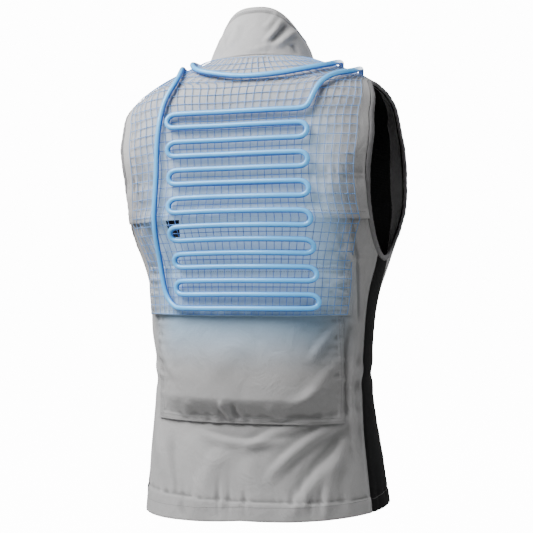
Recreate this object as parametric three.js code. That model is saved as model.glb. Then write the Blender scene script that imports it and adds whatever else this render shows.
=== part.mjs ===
// A sleeveless work vest with a liquid cooling circuit, in the shape that it has when it is worn.
// A grey woven shell with a stand collar, a free-edged back yoke and a flapped back pocket has
// black side panels, a dark inner lining, and a blue net and tube over its back.
// Millimetres, +Z up, the wearer's back at +Y and left at +X. The origin is the middle of the
// neck opening at the height of the nape seam, where the shoulders carry the vest.
import * as THREE from "three";

// Overall sizes
const BACK_LENGTH = 684; // nape seam to hem
const CHEST_HALF_WIDTH = 220;
const BACK_DEPTH = 133; // middle of the neck to the shoulder blades
const FRONT_DEPTH = 136; // middle of the neck to the chest
const CAP_DROP = 90; // below this the body is a stack of level sections
const HEM_SIDE_RISE = 7;
const HEM_LEFT_DROP = 20; // the hem hangs lower on the left
const HEM_DROP_LEVEL = 0.35; // how far up the drape of the hem reaches, as a level
const SHOULDER_LEFT_DROP = 12; // the left shoulder is held lower than the right one
const WAIST = 0.7; // where the side panels are narrowest, as a share of the back length down

// Neck and collar
const NECK_HALF_WIDTH = 83;
const NECK_BACK = 70;
const NECK_FRONT = 82;
const NECK_FRONT_DROP = 60;
const COLLAR_HEIGHT = 81;
const COLLAR_SIDE_HEIGHT = 44;
const COLLAR_FRONT_HEIGHT = 46;
const COLLAR_TOP_HALF_WIDTH = 61;
const COLLAR_TOP_BACK = 47;
const COLLAR_TOP_FRONT = 92;
const COLLAR_LEAN = 8; // how far its top lies before its foot
const COLLAR_SWELL = 3;

// Armholes
const ARMHOLE_TOP = 45; // below the nape seam
const ARMHOLE_HEIGHT = 253;
const ARMHOLE_BACK = 102; // how far the opening reaches behind the neck's middle
const ARMHOLE_FRONT = 66;
const ARMHOLE_LEAN = 14; // how far its top lies behind its middle
const ARMHOLE_PINCH = 0.12; // how much narrower its foot and top are than an ellipse's
const BINDING_WIDTH = 8;
const BINDING_THICKNESS = 5.4;

// Cloth
const CLOTH = 2;
const LINING = 1;
const EDGE_GAP = 0.5; // between pieces sewn edge to edge
const LAYER_GAP = 1.2; // between layers that lie on each other
const NECK_GAP = 1.9; // from the middle of the collar's cloth to the body's
const CLOTH_EDGE = BINDING_WIDTH + EDGE_GAP; // from an armhole's outline to the cloth

// Side panels, as how far their seams lie behind and before the middle of the body
const SEAM_BACK_HEM = 36;
const SEAM_BACK_WAIST = 28;
const SEAM_BACK_ARMHOLE = 32;
const SEAM_FRONT_HEM = 44;
const SEAM_FRONT_WAIST = 36;
const SEAM_FRONT_ARMHOLE = 8;

// Yoke, flap and pocket on the back
const YOKE_EDGE = 246; // below the nape seam
const YOKE_OVERLAP = 34;
const STEP_HEIGHT = 24; // above the back panel's top, where the yoke comes down to the body
const YOKE_FLARE = 6; // how far the free edge stands off
const FLARE_FULL = 0.62; // the free edge stands off as far as this share of the chest's half width
const FLARE_END = 0.82; // and is back on the body at this one
const FLAP_TOP = 314; // below the nape seam
const FLAP_HEIGHT = 72;
const FLAP_HALF_WIDTH = 149;
const POCKET_TOP = 330; // below the nape seam
const POCKET_BOTTOM = 544;
const POCKET_HALF_WIDTH = 140;
const POCKET_BULGE = 15;
const BULGE_FULL = 0.6; // the pocket is fullest from this share of its height down
const BULGE_END = 0.82; // to this one
const POCKET_CLOTH = 1.5;

// Front closure
const ZIP_WIDTH = 12;
const ZIP_THICKNESS = 3;

// Cooling circuit
const TUBE_RADIUS = 4;
const TUBE_SIDES = 8;
const TUBE_STEP = 16;
const ROWS = 15;
const ROW_STEPS = 6;
const ROW_PITCH = 19.8;
const FIRST_ROW = 97; // below the nape seam
const ROW_LEFT_TOP = 104; // how far the first row reaches to the wearer's left
const ROW_LEFT_BOTTOM = 92;
const ROW_RIGHT_TOP = 105;
const ROW_RIGHT_BOTTOM = 109;
const NET = 1;
const NET_HALF_WIDTH = 158; // at its lower edge
const NET_BOTTOM = 384; // below the nape seam
const COUPLING_WIDTH = 46;
const COUPLING_HEIGHT = 26;
const COUPLING_DEPTH = 14;
const COUPLING_DROP = 206; // of its lower face, below the nape seam
const COUPLING_OUT = 96; // from the middle of the front
const PORT_SPACING = 24;
const PORT_STRAIGHT = 12; // how far the tube runs straight up from a port

// Sections from the hem up. Heights are shares of the back length, widths of the chest's half
// width, backs of the back depth, and fronts and widest points of the front depth. Squareness is
// 2 for an ellipse and more for a boxier section.
const SECTIONS = [
  { height: 0.0, width: 0.878, back: 0.88, front: 0.96, widest: -0.21, squareBack: 2.2, squareFront: 2.2 },
  { height: 0.118, width: 0.828, back: 0.827, front: 0.9, widest: -0.17, squareBack: 2.2, squareFront: 2.2 },
  { height: 0.206, width: 0.79, back: 0.797, front: 0.84, widest: -0.12, squareBack: 2.2, squareFront: 2.2 },
  { height: 0.294, width: 0.764, back: 0.782, front: 0.79, widest: -0.07, squareBack: 2.2, squareFront: 2.2 },
  { height: 0.397, width: 0.778, back: 0.812, front: 0.794, widest: -0.06, squareBack: 2.25, squareFront: 2.2 },
  { height: 0.485, width: 0.812, back: 0.857, front: 0.868, widest: -0.132, squareBack: 2.35, squareFront: 2.4 },
  { height: 0.559, width: 0.88, back: 0.902, front: 0.934, widest: -0.22, squareBack: 2.5, squareFront: 2.6 },
  { height: 0.662, width: 0.982, back: 0.962, front: 1.0, widest: -0.25, squareBack: 3.1, squareFront: 2.8 },
  { height: 0.735, width: 1.0, back: 0.992, front: 0.985, widest: -0.22, squareBack: 3.7, squareFront: 2.8 },
  { height: 0.809, width: 0.99, back: 1.0, front: 0.912, widest: -0.162, squareBack: 4.0, squareFront: 2.8 },
  { height: 0.868, width: 0.96, back: 0.962, front: 0.824, widest: -0.088, squareBack: 3.6, squareFront: 2.6 },
];

// The meridians over the shoulder: how far they go on upwards from the last section, and how far
// out from the neck ring and down from it they arrive, at the side, back and front.
const CAP_RISE = { side: 58, back: 34, front: 14 };
const CAP_REACH = { side: 68, back: 16, front: 12 };
const CAP_FALL = { side: 26, back: 26, front: 16 };

// The tube's route from its first port to the right end of the first row, as places on the
// front, over the shoulder and on the back
const LEAD_ROUTE = [
  { on: "front", x: -108, z: -156 },
  { on: "front", x: -126, z: -104 },
  { on: "top", x: -146, y: -40 },
  { on: "top", x: -155, y: 10 },
  { on: "top", x: -158, y: 55 },
  { on: "top", x: -150, y: 80 },
  { on: "top", x: -132, y: 95 },
  { on: "top", x: -119, y: 109 },
  { on: "back", x: -110, z: -74 },
  { on: "back", x: -109, z: -88 },
  { on: "back", x: -103, z: -95 },
];
// From the last row's left end up the back, over the left shoulder and back along the neck
const RETURN_ROUTE = [
  { on: "back", x: 92, z: -373 },
  { on: "back", x: 104, z: -368 },
  { on: "back", x: 112, z: -354 },
  { on: "back", x: 118, z: -321 },
  { on: "back", x: 120, z: -250 },
  { on: "back", x: 120, z: -188 },
  { on: "back", x: 117, z: -120 },
  { on: "back", x: 110, z: -75 },
  { on: "top", x: 96, y: 103 },
  { on: "top", x: 102, y: 70 },
  { on: "top", x: 117, y: 20 },
  { on: "top", x: 124, y: -30 },
  { on: "front", x: 124, z: -90 },
  { on: "front", x: 119, z: -120 },
  { on: "front", x: 108, z: -129 },
  { on: "front", x: 97, z: -120 },
  { on: "front", x: 94, z: -90 },
  { on: "top", x: 100, y: -30 },
  { on: "top", x: 98, y: 20 },
  { on: "top", x: 88, y: 65 },
  { on: "top", x: 70, y: 93 },
  { on: "top", x: 44, y: 100 },
  { on: "top", x: 0, y: 107 },
  { on: "top", x: -50, y: 106 },
  { on: "top", x: -92, y: 96 },
  { on: "top", x: -118, y: 80 },
  { on: "top", x: -128, y: 50 },
  { on: "top", x: -126, y: 10 },
  { on: "top", x: -118, y: -30 },
  { on: "front", x: -102, z: -92 },
  { on: "front", x: -86, z: -150 },
];

const QUARTER = Math.PI / 2;
const FRONT_MIDDLE = -QUARTER;

const mix = (a, b, share) => a + (b - a) * share;
const clamp = (x, low, high) => Math.min(high, Math.max(low, x));
const ease = (low, high, x) => {
  const share = clamp((x - low) / (high - low), 0, 1);
  return share * share * (3 - 2 * share);
};
const even = (n) => Array.from({ length: n + 1 }, (_, i) => i / n);

// The place between low and high where a test turns from true to false
function edgeOf(test, low, high) {
  for (let i = 0; i < 45; i++) {
    const middle = (low + high) / 2;
    if (test(middle)) low = middle;
    else high = middle;
  }
  return low;
}

// A smooth value between the rows of a table, as a cubic with the rows' mean slopes
function between(rows, key, column, at) {
  const above = rows.findIndex((row) => row[key] > at);
  const i = clamp((above < 0 ? rows.length : above) - 1, 0, rows.length - 2);
  const slope = (k) => {
    const low = rows[Math.max(0, k - 1)];
    const high = rows[Math.min(rows.length - 1, k + 1)];
    return (high[column] - low[column]) / (high[key] - low[key]);
  };
  const span = rows[i + 1][key] - rows[i][key];
  const u = (at - rows[i][key]) / span;
  const ends = (1 + 2 * u) * (1 - u) ** 2 * rows[i][column] + u * u * (3 - 2 * u) * rows[i + 1][column];
  return ends + span * u * (1 - u) * ((1 - u) * slope(i) - u * slope(i + 1));
}

// A point of the level section at height z. Turn 0 is the wearer's left side, a quarter turn is
// the middle of the back and minus a quarter turn the middle of the front.
function levelPoint(turn, z) {
  const read = (column) => between(SECTIONS, "height", column, 1 + z / BACK_LENGTH);
  const c = Math.cos(turn);
  const d = Math.sin(turn);
  const widest = read("widest") * FRONT_DEPTH;
  const depth = d > 0 ? read("back") * BACK_DEPTH - widest : read("front") * FRONT_DEPTH + widest;
  const square = d > 0 ? read("squareBack") : read("squareFront");
  const k = (Math.abs(c) ** square + Math.abs(d) ** square) ** (-1 / square);
  return new THREE.Vector3(read("width") * CHEST_HALF_WIDTH * c * k, widest + depth * d * k, z);
}

const bySide = (set, turn) => mix(Math.sin(turn) > 0 ? set.back : set.front, set.side, Math.cos(turn) ** 2);

function neckPoint(turn) {
  const c = Math.cos(turn);
  const d = Math.sin(turn);
  const z = d < 0 ? -NECK_FRONT_DROP * d * d : 0;
  return new THREE.Vector3(NECK_HALF_WIDTH * c, (d > 0 ? NECK_BACK : NECK_FRONT) * d, z);
}

const hemZ = (turn) => -BACK_LENGTH + HEM_SIDE_RISE * Math.cos(turn) ** 2;

// The body's surface. Its level is 0 at the hem, 1 at the last section and 2 at the neck.
function bodyPoint(turn, level) {
  if (level <= 1) {
    const at = levelPoint(turn, mix(hemZ(turn), -CAP_DROP, level));
    const drape = Math.max(0, Math.cos(turn)) * Math.max(0, 1 - level / HEM_DROP_LEVEL) ** 2;
    return at.setZ(at.z - HEM_LEFT_DROP * drape);
  }
  const start = levelPoint(turn, -CAP_DROP);
  const climb = start.clone().sub(levelPoint(turn, -CAP_DROP - 8)).divideScalar(8);
  const end = neckPoint(turn);
  const out = new THREE.Vector3(end.x, end.y, 0).normalize();
  const first = start.clone().addScaledVector(climb, bySide(CAP_RISE, turn));
  const second = end.clone().addScaledVector(out, bySide(CAP_REACH, turn));
  second.z -= bySide(CAP_FALL, turn);
  return new THREE.CubicBezierCurve3(start, first, second, end).getPoint(level - 1);
}

function bodyNormal(turn, level) {
  const step = 0.004;
  const along = bodyPoint(turn, Math.min(2, level + step)).sub(bodyPoint(turn, Math.max(0, level - step)));
  const around = bodyPoint(turn + step, level).sub(bodyPoint(turn - step, level));
  return around.cross(along).normalize();
}

// A spot is a place on the body's surface, as its turn and level
const pointAt = (spot) => bodyPoint(spot.turn, spot.level);

// The place off the body at a spot, with the left shoulder let down from its collar to its armhole
function offBody(spot, off) {
  const at = pointAt(spot).addScaledVector(bodyNormal(spot.turn, spot.level), off);
  const out = ease(NECK_HALF_WIDTH, CHEST_HALF_WIDTH - BINDING_WIDTH, at.x);
  const up = ease(-ARMHOLE_TOP - ARMHOLE_HEIGHT, -CAP_DROP, at.z);
  return at.setZ(at.z - SHOULDER_LEFT_DROP * out * up);
}
const mirrored = (spot) => ({ turn: 2 * QUARTER - spot.turn, level: spot.level });
const levelOfZ = (turn, z) => (z - hemZ(turn)) / (-CAP_DROP - hemZ(turn));
const turnOfY = (y, z) => edgeOf((turn) => levelPoint(turn, z).y < y, -QUARTER, QUARTER);
const turnOfX = (x, z) => edgeOf((turn) => levelPoint(turn, z).x > x, 0, 2 * QUARTER);

// The surface's slopes at a spot, by its turn and by its level
function slopes({ turn, level }) {
  const step = 1e-4;
  const at = bodyPoint(turn, level);
  const byTurn = bodyPoint(turn + step, level).sub(at).divideScalar(step);
  const byLevel = bodyPoint(turn, level + step).sub(at).divideScalar(step);
  return { at, byTurn, byLevel };
}

// The spot where two of x, y and z are as asked, by Newton's method from a spot near it
function findSpot(goal, near) {
  const [p, q] = Object.keys(goal);
  const furthest = 0.12;
  const spot = { ...near };
  for (let i = 0; i < 60; i++) {
    const { at, byTurn, byLevel } = slopes(spot);
    const dp = goal[p] - at[p];
    const dq = goal[q] - at[q];
    const area = byTurn[p] * byLevel[q] - byLevel[p] * byTurn[q];
    spot.turn += clamp((dp * byLevel[q] - dq * byLevel[p]) / area, -furthest, furthest);
    spot.level += clamp((byTurn[p] * dq - byTurn[q] * dp) / area, -furthest, furthest);
    spot.level = clamp(spot.level, 0, 1.98);
  }
  return spot;
}

// The spot at a distance from another, in a given direction
function shifted(from, direction, distance) {
  const hops = Math.ceil(distance / 10);
  const spot = { ...from };
  for (let i = 0; i < hops; i++) {
    const { byTurn, byLevel } = slopes(spot);
    const [a, b, c] = [byTurn.dot(byTurn), byTurn.dot(byLevel), byLevel.dot(byLevel)];
    const p = (direction.dot(byTurn) * distance) / hops;
    const q = (direction.dot(byLevel) * distance) / hops;
    spot.turn += (p * c - q * b) / (a * c - b * b);
    spot.level += (q * a - p * b) / (a * c - b * b);
  }
  return spot;
}

// A spot moved a short way round the body
const turned = (spot, distance) => ({
  turn: spot.turn + distance / slopes(spot).byTurn.length(),
  level: spot.level,
});

// The level a short way below the neck ring
const neckLevel = (turn, distance) => 2 - distance / slopes({ turn, level: 1.999 }).byLevel.length();

// The armhole's outline as seen from the side. Angle 0 is its rear and a quarter turn its top.
function armholeYZ(angle) {
  const s = Math.sin(angle);
  const c = Math.cos(angle);
  const middle = (ARMHOLE_BACK - ARMHOLE_FRONT) / 2;
  const half = (ARMHOLE_BACK + ARMHOLE_FRONT) / 2;
  return {
    y: middle + ARMHOLE_LEAN * s + half * c * (1 - ARMHOLE_PINCH * s * s),
    z: -ARMHOLE_TOP - ARMHOLE_HEIGHT * (0.5 - 0.5 * s),
  };
}
const ARMHOLE_FOOT = armholeYZ(-QUARTER).z;

function armholeSpot(angle) {
  const goal = armholeYZ(angle);
  if (goal.z > -CAP_DROP) return findSpot(goal, { turn: 0.3, level: 1.3 });
  const turn = turnOfY(goal.y, goal.z);
  return { turn, level: levelOfZ(turn, goal.z) };
}

// The spot on the cloth beside the left armhole, a given distance out from its outline
function besideArmhole(angle, distance) {
  const step = 0.02;
  const spot = armholeSpot(angle);
  const along = pointAt(armholeSpot(angle + step)).sub(pointAt(armholeSpot(angle - step)));
  const away = along.cross(bodyNormal(spot.turn, spot.level)).normalize();
  return distance ? shifted(spot, away, distance) : spot;
}

// The turn of a side panel's rear or front seam at a height
function seamTurn(z, rear) {
  const [hem, waist, armhole] = rear
    ? [SEAM_BACK_HEM, SEAM_BACK_WAIST, SEAM_BACK_ARMHOLE]
    : [-SEAM_FRONT_HEM, -SEAM_FRONT_WAIST, -SEAM_FRONT_ARMHOLE];
  const waistZ = -WAIST * BACK_LENGTH;
  const lower = mix(hem, waist, ease(-BACK_LENGTH, waistZ, z));
  return turnOfY(mix(lower, armhole, ease(waistZ, ARMHOLE_FOOT, z)), z);
}

// The armhole's angle where a side panel's seam meets it
const seamMeets = (rear) => {
  const beyond = (angle) => armholeSpot(angle).turn - seamTurn(armholeYZ(angle).z, rear);
  const before = (angle) => (rear ? beyond(angle) < 0 : beyond(angle) > 0);
  return edgeOf(before, -QUARTER, rear ? 0 : -2 * QUARTER);
};
const SEAM_REAR_ANGLE = seamMeets(true);
const SEAM_FRONT_ANGLE = seamMeets(false);
const ARMHOLE_TOP_ANGLE = -3 * QUARTER; // its top, reached round its foot and front

// The armhole's angle, on its rear half, where the cloth beside it is at height z
const angleBeside = (z) =>
  edgeOf((angle) => pointAt(besideArmhole(angle, CLOTH_EDGE)).z < z, SEAM_REAR_ANGLE, QUARTER);

// The angles at which the panels and the bindings have their corners, so that their edges match
const UNDER_YOKE = YOKE_EDGE - YOKE_OVERLAP;
const YOKE_ANGLE = angleBeside(-YOKE_EDGE);
const UNDER_YOKE_ANGLE = angleBeside(-UNDER_YOKE);
const ABOVE_STEP_ANGLE = angleBeside(-UNDER_YOKE + STEP_HEIGHT);
const stepsBetween = (from, to, n) => even(n).map((share) => mix(from, to, share));
const BELOW_YOKE_ANGLES = stepsBetween(SEAM_REAR_ANGLE, YOKE_ANGLE, 2);
const ABOVE_YOKE_ANGLES = stepsBetween(ABOVE_STEP_ANGLE, QUARTER, 6);
const FRONT_ANGLES = stepsBetween(SEAM_FRONT_ANGLE, ARMHOLE_TOP_ANGLE, 10);
const SIDE_ANGLES = stepsBetween(SEAM_REAR_ANGLE, SEAM_FRONT_ANGLE, 5);
const SEAM_ROWS = even(8);
const SHOULDER_ROWS = even(4);

// Rows of corners that run from one share of a boundary to another, as values spread
const rowsOf = (values, low, high) =>
  values.map((value) => mix(low, high, (value - values[0]) / (values.at(-1) - values[0])));

// Boundaries of panels: each gives a spot for a share of its length
const line = (from, to) => (share) => ({
  turn: mix(from.turn, to.turn, share),
  level: mix(from.level, to.level, share),
});
const onArmhole = (from, to) => (share) => besideArmhole(mix(from, to, share), CLOTH_EDGE);
const atHem = (from, to) => (share) => ({ turn: mix(from, to, share), level: 0 });
const atHeight = (z) => (from, to) => (share) => {
  const turn = mix(from, to, share);
  return { turn, level: levelOfZ(turn, z) };
};
const atNeck = (from, to) => (share) => {
  const turn = mix(from, to, share);
  return { turn, level: neckLevel(turn, NECK_GAP) };
};

// Stretches one after another, each with the share at which it ends
const chain = (stretches) => (share) => {
  const i = stretches.findIndex(([to]) => share <= to + 1e-9);
  const from = i ? stretches[i - 1][0] : 0;
  const [to, at] = stretches[i];
  return at(clamp((share - from) / (to - from), 0, 1));
};

// A side panel's seam from the hem to the armhole, moved a little round the body
function seam(rear, distance) {
  const top = turned(besideArmhole(rear ? SEAM_REAR_ANGLE : SEAM_FRONT_ANGLE, CLOTH_EDGE), distance);
  const topZ = pointAt(top).z;
  const plain = (z) => {
    const turn = seamTurn(z, rear);
    return turned({ turn, level: levelOfZ(turn, z) }, distance);
  };
  const slip = top.turn - plain(topZ).turn;
  return (share) => {
    const spot = plain(mix(-BACK_LENGTH + HEM_SIDE_RISE, topZ, share));
    const near = share ** 4;
    return { turn: spot.turn + slip * near, level: share ? mix(spot.level, top.level, near) : 0 };
  };
}

// The shoulder seam from the armhole to the neck, moved a little to the back or front
function shoulderSeam(distance) {
  const low = turned(besideArmhole(QUARTER, CLOTH_EDGE), distance);
  const { turn } = turned({ turn: low.turn, level: 1.9 }, distance);
  return line(low, { turn, level: neckLevel(turn, NECK_GAP) });
}

// The spot on the left front at a distance from its middle
const besideFront = (x, level) => ({
  turn: edgeOf((turn) => bodyPoint(turn, level).x < x, FRONT_MIDDLE, 0),
  level,
});

// The spots between four boundaries, by a share across and a share up
function patch(bottom, top, left, right) {
  const corners = [bottom(0), bottom(1), top(0), top(1)];
  return (s, r) => {
    const [b, t, l, g] = [bottom(s), top(s), left(r), right(r)];
    const blend = (key) => {
      const [bl, br, tl, tr] = corners.map((corner) => corner[key]);
      return mix(b[key], t[key], r) + mix(l[key], g[key], s) - mix(mix(bl, br, s), mix(tl, tr, s), r);
    };
    return { turn: blend("turn"), level: blend("level") };
  };
}

// A patch that is alike on both sides of the back, from its left boundary, foot and head
const symmetric = (left, foot, head) =>
  patch(
    foot(left(0).turn, mirrored(left(0)).turn),
    head(left(1).turn, mirrored(left(1)).turn),
    left,
    (share) => mirrored(left(share)),
  );

// A geometry whose faces point out, whichever way round they were given
function closed(points, faces) {
  const corner = (k) => points[faces[k]];
  let volume = 0;
  for (let k = 0; k < faces.length; k += 3)
    volume += corner(k).dot(corner(k + 1).clone().cross(corner(k + 2)));
  const geometry = new THREE.BufferGeometry();
  geometry.setFromPoints(points);
  geometry.setIndex(volume < 0 ? faces.slice().reverse() : faces);
  geometry.computeVertexNormals();
  return geometry;
}

// A closed solid between two skins, each a function of a share across and a share up
function sheet(inner, outer, columns, rows) {
  const wide = columns.length;
  const high = rows.length;
  const points = [inner, outer].flatMap((skin) => rows.flatMap((r) => columns.map((s) => skin(s, r))));
  const faces = [];
  const at = (skin, i, j) => skin * wide * high + j * wide + i;
  const quad = (a, b, c, d) => faces.push(a, b, c, a, c, d);
  for (let j = 0; j + 1 < high; j++)
    for (let i = 0; i + 1 < wide; i++) {
      quad(at(1, i, j), at(1, i, j + 1), at(1, i + 1, j + 1), at(1, i + 1, j));
      quad(at(0, i, j), at(0, i + 1, j), at(0, i + 1, j + 1), at(0, i, j + 1));
    }
  for (let i = 0; i + 1 < wide; i++) {
    quad(at(0, i, 0), at(1, i, 0), at(1, i + 1, 0), at(0, i + 1, 0));
    quad(at(0, i, high - 1), at(0, i + 1, high - 1), at(1, i + 1, high - 1), at(1, i, high - 1));
  }
  for (let j = 0; j + 1 < high; j++) {
    quad(at(0, 0, j), at(0, 0, j + 1), at(1, 0, j + 1), at(1, 0, j));
    quad(at(0, wide - 1, j), at(1, wide - 1, j), at(1, wide - 1, j + 1), at(0, wide - 1, j + 1));
  }
  return closed(points, faces);
}

// A closed solid through rings of points, with flat ends or, where it is a loop, none
function throughRings(rings, loop) {
  const sides = rings[0].length;
  const points = rings.flat();
  const faces = [];
  const at = (ring, side) => (ring % rings.length) * sides + (side % sides);
  for (let j = 0; j < rings.length - (loop ? 0 : 1); j++)
    for (let i = 0; i < sides; i++) {
      faces.push(at(j, i), at(j, i + 1), at(j + 1, i + 1));
      faces.push(at(j, i), at(j + 1, i + 1), at(j + 1, i));
    }
  for (let i = 1; !loop && i + 1 < sides; i++) {
    faces.push(at(0, 0), at(0, i + 1), at(0, i));
    faces.push(at(rings.length - 1, 0), at(rings.length - 1, i), at(rings.length - 1, i + 1));
  }
  return closed(points, faces);
}

// A sheet of the body's own form, between two offsets that may change from spot to spot
const bodySheet = (spots, inside, thickness, columns, rows) => {
  const skin = (more) => (s, r) => {
    const spot = spots(s, r);
    return offBody(spot, inside(spot) + more);
  };
  return sheet(skin(0), skin(thickness), columns, rows);
};
const steady = (value) => () => value;

const rearSeam = seam(true, EDGE_GAP / 2);
const rearShoulder = shoulderSeam(EDGE_GAP / 2);
const SHOULDER_TURN = rearShoulder(0).turn;

// The panels. A share up each of them reaches its corners at these values.
const YOKE_SHOULDER = 0.7;
const BACK_ARMHOLE = 0.8;
const LINING_ARMHOLE = 0.5;
const LINING_SHOULDER = 0.85;
const FRONT_ARMHOLE = 0.5;
const FRONT_SHOULDER = 0.86;

const yokeSpots = symmetric(
  chain([
    [YOKE_SHOULDER, onArmhole(YOKE_ANGLE, QUARTER)],
    [1, rearShoulder],
  ]),
  atHeight(-YOKE_EDGE),
  atNeck,
);
const backSpots = symmetric(
  chain([
    [BACK_ARMHOLE, rearSeam],
    [1, onArmhole(SEAM_REAR_ANGLE, UNDER_YOKE_ANGLE)],
  ]),
  atHem,
  atHeight(-UNDER_YOKE),
);
const backLiningSpots = symmetric(
  chain([
    [LINING_ARMHOLE, rearSeam],
    [LINING_SHOULDER, onArmhole(SEAM_REAR_ANGLE, QUARTER)],
    [1, rearShoulder],
  ]),
  atHem,
  atNeck,
);
const sideSpots = patch(
  atHem(seam(true, -EDGE_GAP / 2)(0).turn, seam(false, EDGE_GAP / 2)(0).turn),
  onArmhole(SEAM_REAR_ANGLE, SEAM_FRONT_ANGLE),
  seam(true, -EDGE_GAP / 2),
  seam(false, EDGE_GAP / 2),
);
const frontOutside = chain([
  [FRONT_ARMHOLE, seam(false, -EDGE_GAP / 2)],
  [FRONT_SHOULDER, onArmhole(SEAM_FRONT_ANGLE, ARMHOLE_TOP_ANGLE)],
  [1, shoulderSeam(-EDGE_GAP / 2)],
]);
const zipEdge = (share) => {
  const x = ZIP_WIDTH / 2 + EDGE_GAP;
  const neck = neckLevel(besideFront(x, 1.99).turn, NECK_GAP);
  const past = (share - FRONT_SHOULDER) / (1 - FRONT_SHOULDER);
  return besideFront(x, past < 0 ? share / FRONT_SHOULDER : mix(1, neck, past));
};
const frontSpots = patch(
  atHem(frontOutside(0).turn, zipEdge(0).turn),
  atNeck(frontOutside(1).turn, zipEdge(1).turn),
  frontOutside,
  zipEdge,
);

// A patch of the back between two heights, of a given half width
const backBand = (halfWidth, top, bottom) => (s, r) => {
  const z = -mix(bottom, top, r);
  const turn = turnOfX(halfWidth * (1 - 2 * s), z);
  return { turn, level: levelOfZ(turn, z) };
};

// How far the yoke's inner face stands off the body: its lower part lies over the back panel,
// and its free edge stands out between the armholes.
function yokeOffset(spot) {
  const { x, z } = pointAt(spot);
  const over = 1 - ease(-UNDER_YOKE + 2, -UNDER_YOKE + STEP_HEIGHT, z);
  const free = 1 - ease(FLARE_FULL, FLARE_END, Math.abs(x) / CHEST_HALF_WIDTH);
  return (CLOTH + LAYER_GAP) * over + YOKE_FLARE * free * (1 - ease(-YOKE_EDGE, -UNDER_YOKE, z));
}

// The fullness of the pocket: none at its mouth and edges, most in its lower half
function pocketBulge({ x, z }) {
  const across = 1 - clamp(Math.abs(x) / POCKET_HALF_WIDTH, 0, 1) ** 4;
  const down = (-z - POCKET_TOP) / (POCKET_BOTTOM - POCKET_TOP);
  return POCKET_BULGE * across * ease(0, BULGE_FULL, down) * (1 - ease(BULGE_END, 1, down));
}
const pocketOffset = (spot) => CLOTH + LAYER_GAP + pocketBulge(pointAt(spot));
function flapOffset(spot) {
  const overPocket = ease(FLAP_TOP + 3, POCKET_TOP - 1, -pointAt(spot).z);
  return pocketOffset(spot) + (POCKET_CLOTH + LAYER_GAP) * overPocket;
}

// The net lies over the yoke and, below its edge, over the back panel and the flap
function netOffset(spot) {
  const overYoke = ease(-FLAP_TOP, -YOKE_EDGE - 3, pointAt(spot).z);
  return CLOTH + LAYER_GAP + mix(flapOffset(spot), yokeOffset(spot), overYoke);
}

// The net's spots have the yoke's own shares, and less than nothing below the yoke's edge
function netSpots(s, r) {
  if (r >= 0) return yokeSpots(s, r);
  const z = mix(-YOKE_EDGE, -NET_BOTTOM, -r);
  const foot = turnOfX(NET_HALF_WIDTH * (1 - 2 * s), -NET_BOTTOM);
  const turn = mix(yokeSpots(s, 0).turn, foot, ease(0, 1, -r));
  return { turn, level: levelOfZ(turn, z) };
}

// The collar's cloth, by its turn and a share of its height. It leans in towards its top.
function collarPoint(turn, share, off) {
  const c = Math.cos(turn);
  const d = Math.sin(turn);
  const y = (d > 0 ? COLLAR_TOP_BACK : COLLAR_TOP_FRONT) * d - COLLAR_LEAN;
  const frontZ = COLLAR_FRONT_HEIGHT - NECK_FRONT_DROP;
  const behindZ = mix(COLLAR_HEIGHT, COLLAR_SIDE_HEIGHT, Math.abs(c) ** 3);
  const z = d > 0 ? behindZ : mix(frontZ, COLLAR_SIDE_HEIGHT, c * c);
  const at = neckPoint(turn).lerp(new THREE.Vector3(COLLAR_TOP_HALF_WIDTH * c, y, z), share);
  const out = off + COLLAR_SWELL * Math.sin(Math.PI * share);
  return at.add(new THREE.Vector3(c, d, 0).multiplyScalar(out));
}
const collarEnd = Math.asin((ZIP_WIDTH / 2 + EDGE_GAP) / (0.9 * NECK_HALF_WIDTH));
const collarTurn = (share) => FRONT_MIDDLE + mix(collarEnd, 4 * QUARTER - collarEnd, share);

// The zip runs up the middle of the front and of the collar
const ZIP_NECK_SHARE = 0.94;
function zipPoint(s, r, off) {
  const x = (ZIP_WIDTH / 2) * (1 - 2 * s);
  if (r > ZIP_NECK_SHARE) {
    const turn = FRONT_MIDDLE + Math.asin(x / NECK_HALF_WIDTH);
    return collarPoint(turn, (r - ZIP_NECK_SHARE) / (1 - ZIP_NECK_SHARE), off - CLOTH / 2);
  }
  const at = offBody(besideFront(Math.abs(x), (2 * r) / ZIP_NECK_SHARE), off);
  at.x = x;
  return at;
}

// A binding is a ring of rounded sections along its armhole's outline. Its corners lie at the
// same angles as those of the panels that it joins.
const BINDING_ANGLES = [
  ...[...FRONT_ANGLES].reverse(),
  ...[...SIDE_ANGLES].reverse().slice(1),
  ...BELOW_YOKE_ANGLES.slice(1),
  UNDER_YOKE_ANGLE,
  ...ABOVE_YOKE_ANGLES.slice(0, -1),
];
const BINDING_SECTION = [
  { out: BINDING_WIDTH, off: 0.5 },
  { out: 1, off: 0.5 },
  { out: 0, off: 0 },
  { out: 1, off: -0.5 },
  { out: BINDING_WIDTH, off: -0.5 },
];
const bindingRings = (sided) => BINDING_ANGLES.map((angle) =>
  BINDING_SECTION.map(({ out, off }) => offBody(sided(besideArmhole(angle, out)), off * BINDING_THICKNESS)));

const MATERIALS = {
  shell: { color: 0xb9babb, roughness: 0.85 },
  side: { color: 0x1b1b1c, roughness: 0.95 },
  lining: { color: 0x0d0d0e, roughness: 0.95 },
  facing: { color: 0x2c2c2e, roughness: 0.9 },
  binding: { color: 0x8f9091, roughness: 0.9 },
  plastic: { color: 0x26282b, roughness: 0.5 },
  net: { color: 0x86a9dd, roughness: 0.7 },
  tube: { color: 0xa6d8fa, roughness: 0.3 },
};

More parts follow.
